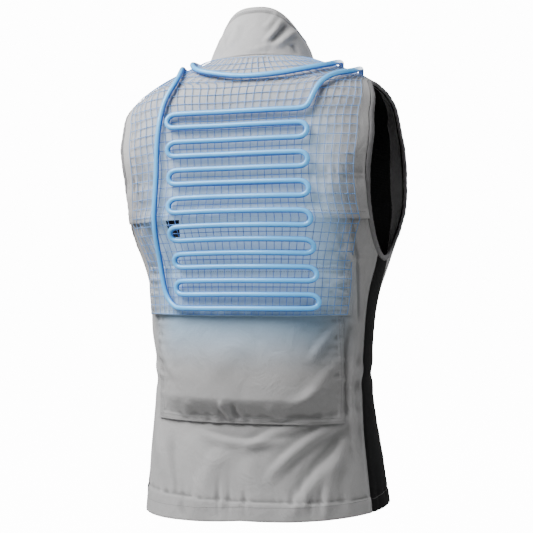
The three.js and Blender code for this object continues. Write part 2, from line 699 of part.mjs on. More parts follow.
const vest = new THREE.Group();
function add(name, material, geometry) {
  const look = new THREE.MeshStandardMaterial({ metalness: 0, ...MATERIALS[material] });
  const mesh = new THREE.Mesh(geometry, look);
  mesh.name = name;
  vest.add(mesh);
}

// Back
const BACK_COLUMNS = even(20);
const YOKE_ROWS = [
  ...rowsOf([YOKE_ANGLE, UNDER_YOKE_ANGLE, ...ABOVE_YOKE_ANGLES], 0, YOKE_SHOULDER),
  ...rowsOf(SHOULDER_ROWS, YOKE_SHOULDER, 1).slice(1),
];
const BACK_ROWS = [
  ...rowsOf(SEAM_ROWS, 0, BACK_ARMHOLE),
  ...rowsOf([...BELOW_YOKE_ANGLES, UNDER_YOKE_ANGLE], BACK_ARMHOLE, 1).slice(1),
];
const REAR_ANGLES = [...BELOW_YOKE_ANGLES, UNDER_YOKE_ANGLE, ...ABOVE_YOKE_ANGLES];
const LINING_ROWS = [
  ...rowsOf(SEAM_ROWS, 0, LINING_ARMHOLE),
  ...rowsOf(REAR_ANGLES, LINING_ARMHOLE, LINING_SHOULDER).slice(1),
  ...rowsOf(SHOULDER_ROWS, LINING_SHOULDER, 1).slice(1),
];
const liningOffset = steady(-LAYER_GAP - LINING);
add("back_yoke", "shell", bodySheet(yokeSpots, yokeOffset, CLOTH, BACK_COLUMNS, YOKE_ROWS));
add("back_panel", "shell", bodySheet(backSpots, steady(0), CLOTH, BACK_COLUMNS, BACK_ROWS));
add("back_lining", "lining", bodySheet(backLiningSpots, liningOffset, LINING, BACK_COLUMNS, LINING_ROWS));

// Fronts, side panels and bindings
const FACING_ROWS = rowsOf(FRONT_ANGLES, FRONT_ARMHOLE, FRONT_SHOULDER);
const FRONT_ROWS = [
  ...rowsOf(SEAM_ROWS, 0, FRONT_ARMHOLE),
  ...FACING_ROWS.slice(1),
  ...rowsOf(SHOULDER_ROWS, FRONT_SHOULDER, 1).slice(1),
];
const FRONT_COLUMNS = even(9);
const FACING_COLUMNS = FRONT_COLUMNS.slice(0, 3);
const facingOffset = steady(-2 * LAYER_GAP - 2 * LINING);
for (const right of [false, true]) {
  const side = right ? "right" : "left";
  const sided = (spot) => (right ? mirrored(spot) : spot);
  const [front, flank] = [frontSpots, sideSpots].map((spots) => (s, r) => sided(spots(s, r)));
  add(`${side}_front`, "shell", bodySheet(front, steady(0), CLOTH, FRONT_COLUMNS, FRONT_ROWS));
  add(`${side}_side_panel`, "side", bodySheet(flank, steady(0), CLOTH, even(5), SEAM_ROWS));
  add(`${side}_front_lining`, "lining", bodySheet(front, liningOffset, LINING, FRONT_COLUMNS, FRONT_ROWS));
  add(`${side}_front_facing`, "facing", bodySheet(front, facingOffset, LINING, FACING_COLUMNS, FACING_ROWS));
  add(`${side}_armhole_binding`, "binding", throughRings(bindingRings(sided), true));
}

// Collar and zip
const collarSkin = (off) => (s, r) => collarPoint(collarTurn(s), mix(0.01, 1, r), off);
add("collar", "shell", sheet(collarSkin(-CLOTH / 2), collarSkin(CLOTH / 2), even(28), even(4)));
const zipSkin = (off) => (s, r) => zipPoint(s, r, off);
const ZIP_ROWS = [...rowsOf(even(14), 0, ZIP_NECK_SHARE), ...rowsOf(even(2), ZIP_NECK_SHARE, 1).slice(1)];
add("front_zip", "plastic", sheet(zipSkin(0), zipSkin(ZIP_THICKNESS), even(2), ZIP_ROWS));

// Pocket and flap
const pocketSpots = backBand(POCKET_HALF_WIDTH, POCKET_TOP, POCKET_BOTTOM);
const POCKET_COLUMNS = [0, 0.04, 0.1, 0.18, 0.3, 0.42, 0.5, 0.58, 0.7, 0.82, 0.9, 0.96, 1];
const POCKET_ROWS = [0, 0.05, 0.1, 0.16, 0.28, 0.4, 0.55, 0.7, 0.85, 1];
const pocketCloth = bodySheet(pocketSpots, pocketOffset, POCKET_CLOTH, POCKET_COLUMNS, POCKET_ROWS);
add("back_pocket", "shell", pocketCloth);
const flapSpots = backBand(FLAP_HALF_WIDTH, FLAP_TOP, FLAP_TOP + FLAP_HEIGHT);
const FLAP_ROWS = [0, 0.3, 0.55, 0.78, 0.95, 1];
add("pocket_flap", "shell", bodySheet(flapSpots, flapOffset, CLOTH, even(14), FLAP_ROWS));

// Cooling circuit
const NET_DROPS = [
  ...rowsOf(even(2), NET_BOTTOM, POCKET_TOP),
  ...rowsOf(even(3), FLAP_TOP, YOKE_EDGE + 3),
];
const BELOW_YOKE_ROWS = NET_DROPS.map((drop) => (YOKE_EDGE - drop) / (NET_BOTTOM - YOKE_EDGE));
const NET_ROWS = [...BELOW_YOKE_ROWS, ...YOKE_ROWS.slice(0, -1)];
add("cooling_net", "net", bodySheet(netSpots, netOffset, NET, BACK_COLUMNS.slice(1, -1), NET_ROWS));

// The coupling is a block that stands upright against the right front
const couplingTop = -COUPLING_DROP + COUPLING_HEIGHT;
const couplingSpot = findSpot({ x: -COUPLING_OUT, z: -COUPLING_DROP }, { turn: 2.5 * QUARTER, level: 0.8 });
const couplingOut = bodyNormal(couplingSpot.turn, couplingSpot.level).setZ(0).normalize();
const couplingMiddle = offBody(couplingSpot, CLOTH + EDGE_GAP);
couplingMiddle.addScaledVector(couplingOut, COUPLING_DEPTH / 2).setZ(-COUPLING_DROP + COUPLING_HEIGHT / 2);
const coupling = new THREE.BoxGeometry(COUPLING_WIDTH, COUPLING_DEPTH, COUPLING_HEIGHT);
coupling.rotateZ(Math.atan2(couplingOut.y, couplingOut.x) + QUARTER);
coupling.translate(...couplingMiddle.toArray());
add("tube_coupling", "plastic", coupling);

// The spot of one place on a route
function routeSpot({ on, x, y, z }) {
  const side = x > 0 ? 1 : -1;
  const near = { front: -0.9, top: 0.2, back: 1.1 }[on];
  const goal = on === "top" ? { x: side * x, y } : { x: side * x, z };
  const spot = findSpot(goal, { turn: near, level: on === "top" ? 1.5 : 1 });
  return side > 0 ? spot : mirrored(spot);
}

// The rows of the tube from the right end of the first one, with half-round turns between them
function rowSpots() {
  const spots = [];
  const bend = ROW_PITCH / 2;
  for (let i = 0; i < ROWS; i++) {
    const share = i / (ROWS - 1);
    const left = mix(ROW_LEFT_TOP, ROW_LEFT_BOTTOM, share) - bend;
    const right = -mix(ROW_RIGHT_TOP, ROW_RIGHT_BOTTOM, share) + bend;
    const leftward = i % 2 === 0;
    const drop = FIRST_ROW + ROW_PITCH * i;
    const [from, to] = leftward ? [right, left] : [left, right];
    for (const part of even(ROW_STEPS)) spots.push({ x: mix(from, to, part), z: -drop });
    for (const part of [0.25, 0.5, 0.75]) {
      const angle = Math.PI * part;
      const out = (leftward ? 1 : -1) * bend * Math.sin(angle);
      if (i + 1 < ROWS) spots.push({ x: to + out, z: -drop - bend * (1 - Math.cos(angle)) });
    }
  }
  return spots.map(({ x, z }) => {
    const turn = turnOfX(x, z);
    return { turn, level: levelOfZ(turn, z) };
  });
}

// The middle of the tube over a spot: on the net at the back, on the cloth at the front
function tubePoint(spot) {
  const fold = Math.min(spot.turn, 2 * QUARTER - spot.turn);
  const behind = ease(SHOULDER_TURN - 0.9, SHOULDER_TURN - 0.4, fold);
  const under = mix(CLOTH + LAYER_GAP, netOffset(spot) + NET, behind);
  return offBody(spot, under + LAYER_GAP + TUBE_RADIUS);
}

// Points at even steps along a smooth route through a few places
function smoothRoute(places) {
  const spots = places.map(routeSpot).map(({ turn, level }) => new THREE.Vector3(turn, level, 0));
  const fine = new THREE.CatmullRomCurve3(spots).getPoints(20 * places.length);
  const path = new THREE.CatmullRomCurve3(fine.map(({ x, y }) => tubePoint({ turn: x, level: y })));
  return path.getSpacedPoints(Math.round(path.getLength() / TUBE_STEP));
}

// A place above one of the coupling's ports, -1 or 1
function portPoint(side, up) {
  const along = new THREE.Vector3(-couplingOut.y, couplingOut.x, 0);
  const at = couplingMiddle.clone().addScaledVector(along, (side * PORT_SPACING) / 2);
  return at.setZ(couplingTop + up);
}

const tubeMiddle = [
  portPoint(-1, EDGE_GAP / 2),
  portPoint(-1, PORT_STRAIGHT),
  ...smoothRoute(LEAD_ROUTE),
  ...rowSpots().map(tubePoint),
  ...smoothRoute(RETURN_ROUTE),
  portPoint(1, PORT_STRAIGHT),
  portPoint(1, EDGE_GAP / 2),
];

// Round sections along a line of points, carried along it without twist
function sweptRings(middles, radius, sides) {
  let across = new THREE.Vector3(1, 0, 0);
  return middles.map((middle, i) => {
    const before = middles[Math.max(0, i - 1)];
    const along = middles[Math.min(middles.length - 1, i + 1)].clone().sub(before).normalize();
    across = across.clone().addScaledVector(along, -across.dot(along)).normalize();
    const other = along.clone().cross(across);
    return even(sides).slice(1).map((share) => {
      const angle = 2 * Math.PI * share;
      return middle.clone()
        .addScaledVector(across, radius * Math.cos(angle))
        .addScaledVector(other, radius * Math.sin(angle));
    });
  });
}
add("cooling_tube", "tube", throughRings(sweptRings(tubeMiddle, TUBE_RADIUS, TUBE_SIDES), false));

export default vest;
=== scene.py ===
import math
import bpy
import numpy as np
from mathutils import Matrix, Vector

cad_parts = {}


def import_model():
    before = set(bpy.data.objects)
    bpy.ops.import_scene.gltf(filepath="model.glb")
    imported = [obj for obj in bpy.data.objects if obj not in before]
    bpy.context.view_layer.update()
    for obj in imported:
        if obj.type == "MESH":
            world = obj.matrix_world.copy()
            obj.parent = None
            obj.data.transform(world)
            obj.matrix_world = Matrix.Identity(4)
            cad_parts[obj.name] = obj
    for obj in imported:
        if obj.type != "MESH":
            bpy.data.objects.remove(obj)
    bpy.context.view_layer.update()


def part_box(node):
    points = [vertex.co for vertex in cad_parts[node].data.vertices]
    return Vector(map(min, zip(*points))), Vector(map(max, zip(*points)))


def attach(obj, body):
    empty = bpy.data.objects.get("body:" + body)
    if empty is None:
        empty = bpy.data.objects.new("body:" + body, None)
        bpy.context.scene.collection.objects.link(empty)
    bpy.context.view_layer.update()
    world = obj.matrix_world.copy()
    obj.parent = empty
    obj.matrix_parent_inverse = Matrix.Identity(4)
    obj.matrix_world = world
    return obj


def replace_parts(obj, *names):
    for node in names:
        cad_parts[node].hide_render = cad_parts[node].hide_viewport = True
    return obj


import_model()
bpy.ops.object.select_all(action="DESELECT")

# The camera stands behind the vest, a little to its right
CAMERA_PLACE = (-0.4135, 1.4419, -0.35)
CAMERA_LENS = 64.84
CAMERA_SHIFT = (0.0084, 0.0441)
CAMERA_TURN = 196


def camera():
    bpy.ops.object.camera_add(location=CAMERA_PLACE, rotation=(math.pi / 2, 0, math.radians(CAMERA_TURN)))
    view = bpy.context.object
    view.name = "view"
    view.data.lens = CAMERA_LENS
    view.data.sensor_width = 36
    view.data.shift_x, view.data.shift_y = CAMERA_SHIFT
    bpy.context.scene.camera = view


camera()

# Sizes of the vest in millimetres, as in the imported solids
BACK_LENGTH = 684
CHEST_HALF_WIDTH = 220
BACK_DEPTH = 133
FRONT_DEPTH = 136
CAP_DROP = 90
HEM_SIDE_RISE = 7
HEM_LEFT_DROP = 20
HEM_DROP_LEVEL = 0.35
SHOULDER_LEFT_DROP = 12
WAIST = 0.7
NECK_HALF_WIDTH = 83
NECK_BACK = 70
NECK_FRONT = 82
NECK_FRONT_DROP = 60
COLLAR_HEIGHT = 81
COLLAR_SIDE_HEIGHT = 44
COLLAR_FRONT_HEIGHT = 46
COLLAR_TOP_HALF_WIDTH = 61
COLLAR_TOP_BACK = 47
COLLAR_TOP_FRONT = 92
COLLAR_LEAN = 8
COLLAR_SWELL = 3
ARMHOLE_TOP = 45
ARMHOLE_HEIGHT = 253
ARMHOLE_BACK = 102
ARMHOLE_FRONT = 66
ARMHOLE_LEAN = 14
ARMHOLE_PINCH = 0.12
BINDING_WIDTH = 8
BINDING_THICKNESS = 5.4
CLOTH = 2
LINING = 1
EDGE_GAP = 0.5
LAYER_GAP = 1.2
NECK_GAP = 1.9
CLOTH_EDGE = BINDING_WIDTH + EDGE_GAP
SEAM_BACK = (36, 28, 32)
SEAM_FRONT = (-44, -36, -8)
YOKE_EDGE = 246
YOKE_OVERLAP = 34
STEP_HEIGHT = 24
YOKE_FLARE = 6
FLARE_FULL = 0.62
FLARE_END = 0.82
FLAP_TOP = 314
FLAP_HEIGHT = 72
FLAP_HALF_WIDTH = 149
POCKET_TOP = 330
POCKET_BOTTOM = 544
POCKET_HALF_WIDTH = 140
POCKET_BULGE = 15
BULGE_FULL = 0.6
BULGE_END = 0.82
POCKET_CLOTH = 1.5
ZIP_WIDTH = 12
ZIP_NECK_SHARE = 0.94
TUBE_RADIUS = 4
ROWS = 15
ROW_PITCH = 19.8
FIRST_ROW = 97
ROW_LEFT = (104, 92)
ROW_RIGHT = (105, 109)
NET = 1
NET_HALF_WIDTH = 158
NET_BOTTOM = 384
UNDER_YOKE = YOKE_EDGE - YOKE_OVERLAP
QUARTER = math.pi / 2

# Sections of the body from the hem up, as shares: height, width, back, front, widest point, and
# the squareness of the back and of the front
SECTIONS = np.array([
    (0.0, 0.878, 0.88, 0.96, -0.21, 2.2, 2.2),
    (0.118, 0.828, 0.827, 0.9, -0.17, 2.2, 2.2),
    (0.206, 0.79, 0.797, 0.84, -0.12, 2.2, 2.2),
    (0.294, 0.764, 0.782, 0.79, -0.07, 2.2, 2.2),
    (0.397, 0.778, 0.812, 0.794, -0.06, 2.25, 2.2),
    (0.485, 0.812, 0.857, 0.868, -0.132, 2.35, 2.4),
    (0.559, 0.88, 0.902, 0.934, -0.22, 2.5, 2.6),
    (0.662, 0.982, 0.962, 1.0, -0.25, 3.1, 2.8),
    (0.735, 1.0, 0.992, 0.985, -0.22, 3.7, 2.8),
    (0.809, 0.99, 1.0, 0.912, -0.162, 4.0, 2.8),
    (0.868, 0.96, 0.962, 0.824, -0.088, 3.6, 2.6),
])
# How the meridians go over the shoulder, at the side, the back and the front
CAP_RISE = (58, 34, 14)
CAP_REACH = (68, 16, 12)
CAP_FALL = (26, 26, 16)

# The tube's route, as places on the front, over the shoulder and on the back
LEAD_ROUTE = [
    ("front", -108, -156), ("front", -126, -104), ("top", -146, -40), ("top", -155, 10),
    ("top", -158, 55), ("top", -150, 80), ("top", -132, 95), ("top", -119, 109),
    ("back", -110, -74), ("back", -109, -88), ("back", -103, -95),
]
RETURN_ROUTE = [
    ("back", 92, -373), ("back", 104, -368), ("back", 112, -354), ("back", 118, -321),
    ("back", 120, -250), ("back", 120, -188), ("back", 117, -120), ("back", 110, -75),
    ("top", 96, 103), ("top", 102, 70), ("top", 117, 20), ("top", 124, -30),
    ("front", 124, -90), ("front", 119, -120), ("front", 108, -129), ("front", 97, -120),
    ("front", 94, -90), ("top", 100, -30), ("top", 98, 20), ("top", 88, 65), ("top", 70, 93),
    ("top", 44, 100), ("top", 0, 107), ("top", -50, 106), ("top", -92, 96), ("top", -118, 80),
    ("top", -128, 50), ("top", -126, 10), ("top", -118, -30), ("front", -102, -92),
    ("front", -86, -150),
]


# Small helpers on numbers and arrays
def mix(a, b, share):
    return a + (b - a) * share


def ease(low, high, x):
    share = np.clip((np.asarray(x, float) - low) / (high - low), 0, 1)
    return share * share * (3 - 2 * share)


def bump(x, width):
    return np.exp(-(np.asarray(x, float) / width) ** 2)


# Rounds of a search, which makes its error smaller than any size here
SEARCH_ROUNDS = 40


def edge_of(test, low, high):
    low, high = np.array(low, float), np.array(high, float)
    for _ in range(SEARCH_ROUNDS):
        middle = (low + high) / 2
        holds = test(middle)
        low, high = np.where(holds, middle, low), np.where(holds, high, middle)
    return low


def unit(vectors):
    return vectors / np.maximum(np.linalg.norm(vectors, axis=-1, keepdims=True), 1e-9)


# The body's surface. A spot on it is a turn and a level: turn 0 is the wearer's left side and a
# quarter turn the middle of the back, and the level is 0 at the hem, 1 under the arms' tops and
# 2 at the neck.
def section_slopes():
    last = len(SECTIONS) - 1
    above = np.minimum(np.arange(last + 1) + 1, last)
    below = np.maximum(np.arange(last + 1) - 1, 0)
    rise = SECTIONS[above] - SECTIONS[below]
    return rise / rise[:, :1]


SECTION_SLOPES = section_slopes()
# Steps in turn and level for the surface's normal and slopes, the largest step of a search on it,
# and the longest hop along it in millimetres
NORMAL_STEP = 0.004
SLOPE_STEP = 1e-4
SEARCH_STEP = 0.12
LONGEST_HOP = 10


def section(height):
    heights = SECTIONS[:, 0]
    i = np.clip(np.searchsorted(heights, height, side="right") - 1, 0, len(heights) - 2)
    span = (heights[i + 1] - heights[i])[..., None]
    u = (height - heights[i])[..., None] / span
    ends = (1 + 2 * u) * (1 - u) ** 2 * SECTIONS[i] + u * u * (3 - 2 * u) * SECTIONS[i + 1]
    swing = (1 - u) * SECTION_SLOPES[i] - u * SECTION_SLOPES[i + 1]
    return np.moveaxis(ends + span * u * (1 - u) * swing, -1, 0)


def level_point(turn, z):
    turn, z = np.broadcast_arrays(np.asarray(turn, float), np.asarray(z, float))
    _, width, back, front, widest, square_back, square_front = section(1 + z / BACK_LENGTH)
    c, d = np.cos(turn), np.sin(turn)
    middle = widest * FRONT_DEPTH
    depth = np.where(d > 0, back * BACK_DEPTH - middle, front * FRONT_DEPTH + middle)
    square = np.where(d > 0, square_back, square_front)
    k = (np.abs(c) ** square + np.abs(d) ** square) ** (-1 / square)
    return np.stack([width * CHEST_HALF_WIDTH * c * k, middle + depth * d * k, z], -1)


def by_side(values, turn):
    side, back, front = values
    share = np.cos(turn) ** 2
    return mix(np.where(np.sin(turn) > 0, back, front), side, share)[..., None]


def neck_point(turn):
    c, d = np.cos(turn), np.sin(turn)
    z = np.where(d < 0, -NECK_FRONT_DROP * d * d, 0)
    return np.stack([NECK_HALF_WIDTH * c, np.where(d > 0, NECK_BACK, NECK_FRONT) * d, z], -1)


def hem_z(turn):
    return -BACK_LENGTH + HEM_SIDE_RISE * np.cos(turn) ** 2


def body_point(turn, level):
    turn, level = np.broadcast_arrays(np.asarray(turn, float), np.asarray(level, float))
    low = np.minimum(level, 1)
    trunk = level_point(turn, mix(hem_z(turn), -CAP_DROP, low))
    drape = np.maximum(0, np.cos(turn)) * np.maximum(0, 1 - low / HEM_DROP_LEVEL) ** 2
    trunk[..., 2] -= HEM_LEFT_DROP * drape
    start = level_point(turn, -CAP_DROP)
    climb = (start - level_point(turn, -CAP_DROP - 8)) / 8
    end = neck_point(turn)
    out = unit(end * (1, 1, 0))
    first = start + climb * by_side(CAP_RISE, turn)
    second = end + out * by_side(CAP_REACH, turn) - by_side(CAP_FALL, turn) * (0, 0, 1)
    t = np.clip(level - 1, 0, 1)[..., None]
    low_part = (1 - t) ** 3 * start + 3 * t * (1 - t) ** 2 * first
    cap = low_part + 3 * t * t * (1 - t) * second + t ** 3 * end
    return np.where(level[..., None] <= 1, trunk, cap)


def body_normal(turn, level):
    above = body_point(turn, np.minimum(2, level + NORMAL_STEP))
    along = above - body_point(turn, np.maximum(0, level - NORMAL_STEP))
    around = body_point(turn + NORMAL_STEP, level) - body_point(turn - NORMAL_STEP, level)
    return unit(np.cross(around, along))


def off_body(turn, level, off):
    at = body_point(turn, level) + body_normal(turn, level) * np.asarray(off, float)[..., None]
    out = ease(NECK_HALF_WIDTH, CHEST_HALF_WIDTH - BINDING_WIDTH, at[..., 0])
    up = ease(-ARMHOLE_TOP - ARMHOLE_HEIGHT, -CAP_DROP, at[..., 2])
    at[..., 2] -= SHOULDER_LEFT_DROP * out * up
    return at


def level_of_z(turn, z):
    return (z - hem_z(turn)) / (-CAP_DROP - hem_z(turn))


def turn_of_y(y, z):
    start = np.zeros(np.broadcast(y, z).shape)
    return edge_of(lambda turn: level_point(turn, z)[..., 1] < y, start - QUARTER, start + QUARTER)


def turn_of_x(x, z):
    start = np.zeros(np.broadcast(x, z).shape)
    return edge_of(lambda turn: level_point(turn, z)[..., 0] > x, start, start + 2 * QUARTER)


def slopes(turn, level):
    at = body_point(turn, level)
    by_turn = (body_point(turn + SLOPE_STEP, level) - at) / SLOPE_STEP
    by_level = (body_point(turn, level + SLOPE_STEP) - at) / SLOPE_STEP
    return at, by_turn, by_level


# The spot where two coordinates of the body, named by their indices, are as asked
def find_spot(p, q, goal_p, goal_q, turn, level):
    shape = np.broadcast(goal_p, goal_q).shape
    turn, level = np.full(shape, float(turn)), np.full(shape, float(level))
    for _ in range(SEARCH_ROUNDS):
        at, by_turn, by_level = slopes(turn, level)
        dp, dq = goal_p - at[..., p], goal_q - at[..., q]
        area = by_turn[..., p] * by_level[..., q] - by_level[..., p] * by_turn[..., q]
        area = np.where(np.abs(area) < 1e-6, 1e-6, area)
        more_turn = (dp * by_level[..., q] - dq * by_level[..., p]) / area
        more_level = (by_turn[..., p] * dq - by_turn[..., q] * dp) / area
        turn = turn + np.clip(more_turn, -SEARCH_STEP, SEARCH_STEP)
        level = level + np.clip(more_level, -SEARCH_STEP, SEARCH_STEP)
        level = np.clip(level, 0, 1.98)
    return turn, level


def shifted(turn, level, direction, distance):
    hops = math.ceil(distance / LONGEST_HOP)
    for _ in range(hops):
        _, by_turn, by_level = slopes(turn, level)
        a, b, c = (by_turn ** 2).sum(-1), (by_turn * by_level).sum(-1), (by_level ** 2).sum(-1)
        p = (direction * by_turn).sum(-1) * distance / hops
        q = (direction * by_level).sum(-1) * distance / hops
        turn = turn + (p * c - q * b) / (a * c - b * b)
        level = level + (q * a - p * b) / (a * c - b * b)
    return turn, level


def turned(spot, distance):
    turn, level = spot
    return turn + distance / np.linalg.norm(slopes(turn, level)[1], axis=-1), level


def neck_level(turn, distance):
    return 2 - distance / np.linalg.norm(slopes(turn, 1.999)[2], axis=-1)


# The armhole's outline, by an angle that is 0 at its rear and a quarter turn at its top
def armhole_yz(angle):
    s, c = np.sin(angle), np.cos(angle)
    half = (ARMHOLE_BACK + ARMHOLE_FRONT) / 2
    middle = (ARMHOLE_BACK - ARMHOLE_FRONT) / 2
    y = middle + ARMHOLE_LEAN * s + half * c * (1 - ARMHOLE_PINCH * s * s)
    return y, -ARMHOLE_TOP - ARMHOLE_HEIGHT * (0.5 - 0.5 * s)


ARMHOLE_FOOT = float(armhole_yz(-QUARTER)[1])


def armhole_spot(angle):
    y, z = armhole_yz(np.asarray(angle, float))
    low = np.minimum(z, -CAP_DROP)
    turn = turn_of_y(y, low)
    high = find_spot(1, 2, y, np.maximum(z, -CAP_DROP), 0.3, 1.3)
    on_cap = z > -CAP_DROP
    return np.where(on_cap, high[0], turn), np.where(on_cap, high[1], level_of_z(turn, low))


def beside_armhole(angle, distance):
    angle = np.asarray(angle, float)
    turn, level = armhole_spot(angle)
    if not distance:
        return turn, level
    along = body_point(*armhole_spot(angle + 0.02)) - body_point(*armhole_spot(angle - 0.02))
    return shifted(turn, level, unit(np.cross(along, body_normal(turn, level))), distance)


def seam_turn(z, rear):
    hem, waist, armhole = SEAM_BACK if rear else SEAM_FRONT
    waist_z = -WAIST * BACK_LENGTH
    lower = mix(hem, waist, ease(-BACK_LENGTH, waist_z, z))
    return turn_of_y(mix(lower, armhole, ease(waist_z, ARMHOLE_FOOT, z)), z)


def seam_meets(rear):
    def before(angle):
        beyond = armhole_spot(angle)[0] - seam_turn(armhole_yz(angle)[1], rear)
        return beyond < 0 if rear else beyond > 0
    return float(edge_of(before, -QUARTER, 0 if rear else -2 * QUARTER))


SEAM_REAR_ANGLE = seam_meets(True)
SEAM_FRONT_ANGLE = seam_meets(False)
ARMHOLE_TOP_ANGLE = -3 * QUARTER


def angle_beside(z):
    def below(angle):
        return body_point(*beside_armhole(angle, CLOTH_EDGE))[..., 2] < z
    return float(edge_of(below, SEAM_REAR_ANGLE, QUARTER))


YOKE_ANGLE = angle_beside(-YOKE_EDGE)
UNDER_YOKE_ANGLE = angle_beside(-UNDER_YOKE)


# Boundaries of the panels, each as a table of spots by the share of its length
BOUNDARY_STOPS = 161


def tabled(boundary, ends=()):
    stops = np.linspace(0, 1, BOUNDARY_STOPS)
    shares = np.unique(np.concatenate([stops, ends, np.array(ends) + 1e-6]))
    turn, level = boundary(shares)
    turn, level = np.broadcast_to(turn, shares.shape), np.broadcast_to(level, shares.shape)
    return lambda share: (np.interp(share, shares, turn), np.interp(share, shares, level))


def on_armhole(start, end):
    return lambda share: beside_armhole(mix(start, end, share), CLOTH_EDGE)


def at_hem(start, end):
    return lambda share: (mix(start, end, share), 0 * share)


def at_height(z):
    def between(start, end):
        return lambda share: (mix(start, end, share), level_of_z(mix(start, end, share), z))
    return between


def at_neck(start, end):
    return lambda share: (mix(start, end, share), neck_level(mix(start, end, share), NECK_GAP))


def chain(*stretches):
    def boundary(share):
        turn, level = np.zeros_like(share), np.zeros_like(share)
        start = 0
        for end, stretch in stretches:
            inside = (share >= start - 1e-9) & (share <= end + 1e-9)
            part = np.clip((share - start) / (end - start), 0, 1)
            values = stretch(part)
            turn = np.where(inside, values[0], turn)
            level = np.where(inside, values[1], level)
            share = np.where(inside, -1, share)
            start = end
        return turn, level
    return tabled(boundary, [end for end, _ in stretches[:-1]])


def seam(rear, distance):
    angle = SEAM_REAR_ANGLE if rear else SEAM_FRONT_ANGLE
    top = turned(beside_armhole(angle, CLOTH_EDGE), distance)
    top_z = body_point(*top)[..., 2]

    def plain(z):
        turn = seam_turn(z, rear)
        return turned((turn, level_of_z(turn, z)), distance)

    slip = top[0] - plain(top_z)[0]

    def boundary(share):
        turn, level = plain(mix(-BACK_LENGTH + HEM_SIDE_RISE, top_z, share))
        near = share ** 4
        return turn + slip * near, np.where(share > 0, mix(level, top[1], near), 0)
    return boundary


def shoulder_seam(distance):
    low = turned(beside_armhole(QUARTER, CLOTH_EDGE), distance)
    turn, _ = turned((low[0], 1.9), distance)
    level = neck_level(turn, NECK_GAP)
    return lambda share: (mix(low[0], turn, share), mix(low[1], level, share))


def beside_front(x, level):
    level = np.asarray(level, float)
    start = np.zeros(np.broadcast(x, level).shape)
    turn = edge_of(lambda turn: body_point(turn, level)[..., 0] < x, start - QUARTER, start)
    return turn, level


def mirrored(spot):
    return 2 * QUARTER - spot[0], spot[1]


def ends_of(boundary):
    return [tuple(float(value) for value in boundary(np.float64(share))) for share in (0, 1)]


def patch(bottom, top, left, right):
    corners = [*ends_of(bottom), *ends_of(top)]

    def spots(s, r):
        sides = bottom(s), top(s), left(r), right(r)
        found = []
        for k in (0, 1):
            b, t, l, g = (side[k] for side in sides)
            bl, br, tl, tr = (corner[k] for corner in corners)
            found.append(mix(b, t, r) + mix(l, g, s) - mix(mix(bl, br, s), mix(tl, tr, s), r))
        return found
    return spots


def symmetric(left, foot, head):
    low, high = (spot[0] for spot in ends_of(left))
    return patch(
        tabled(foot(low, 2 * QUARTER - low)), tabled(head(high, 2 * QUARTER - high)),
        left, lambda share: mirrored(left(share)))


# The panels. A share up each of them reaches its corners at these values.
YOKE_SHOULDER = 0.7
BACK_ARMHOLE = 0.8
LINING_ARMHOLE = 0.5
LINING_SHOULDER = 0.85
FRONT_ARMHOLE = 0.5
FRONT_SHOULDER = 0.86
rear_seam = seam(True, EDGE_GAP / 2)
rear_shoulder = shoulder_seam(EDGE_GAP / 2)
SHOULDER_TURN = float(rear_shoulder(np.float64(0))[0])
yoke_spots = symmetric(
    chain((YOKE_SHOULDER, on_armhole(YOKE_ANGLE, QUARTER)), (1, rear_shoulder)),
    at_height(-YOKE_EDGE), at_neck)
back_spots = symmetric(
    chain((BACK_ARMHOLE, rear_seam), (1, on_armhole(SEAM_REAR_ANGLE, UNDER_YOKE_ANGLE))),
    at_hem, at_height(-UNDER_YOKE))
back_lining_spots = symmetric(
    chain(
        (LINING_ARMHOLE, rear_seam),
        (LINING_SHOULDER, on_armhole(SEAM_REAR_ANGLE, QUARTER)),
        (1, rear_shoulder)),
    at_hem, at_neck)
# How far the side panels reach under the back and the fronts, how far under them they lie there,
# the width of the slope down to that, and the panels' rough width
SIDE_TUCK = 3
TUCK_GAP = 0.4
TUCK_SLOPE = 2.5
SIDE_WIDTH = 60
side_rear, side_fore = tabled(seam(True, SIDE_TUCK)), tabled(seam(False, -SIDE_TUCK))
side_spots = patch(
    tabled(at_hem(ends_of(side_rear)[0][0], ends_of(side_fore)[0][0])),
    tabled(on_armhole(SEAM_REAR_ANGLE, SEAM_FRONT_ANGLE)), side_rear, side_fore)
front_outside = chain(
    (FRONT_ARMHOLE, seam(False, -EDGE_GAP / 2)),
    (FRONT_SHOULDER, on_armhole(SEAM_FRONT_ANGLE, ARMHOLE_TOP_ANGLE)),
    (1, shoulder_seam(-EDGE_GAP / 2)))


def zip_edge(share):
    x = ZIP_WIDTH / 2 + EDGE_GAP
    neck = neck_level(beside_front(x, 1.99)[0], NECK_GAP)
    past = (share - FRONT_SHOULDER) / (1 - FRONT_SHOULDER)
    return beside_front(x, np.where(past < 0, share / FRONT_SHOULDER, mix(1, neck, past)))


front_inside = tabled(zip_edge, [FRONT_SHOULDER])
front_spots = patch(
    tabled(at_hem(ends_of(front_outside)[0][0], ends_of(front_inside)[0][0])),
    tabled(at_neck(ends_of(front_outside)[1][0], ends_of(front_inside)[1][0])),
    front_outside, front_inside)


def back_band(half_width, top, bottom):
    def spots(s, r):
        z = -mix(bottom, top, r)
        turn = turn_of_x(half_width * (1 - 2 * s), z)
        return turn, level_of_z(turn, z)
    return spots


flap_spots = back_band(FLAP_HALF_WIDTH, FLAP_TOP, FLAP_TOP + FLAP_HEIGHT)
pocket_spots = back_band(POCKET_HALF_WIDTH, POCKET_TOP, POCKET_BOTTOM)


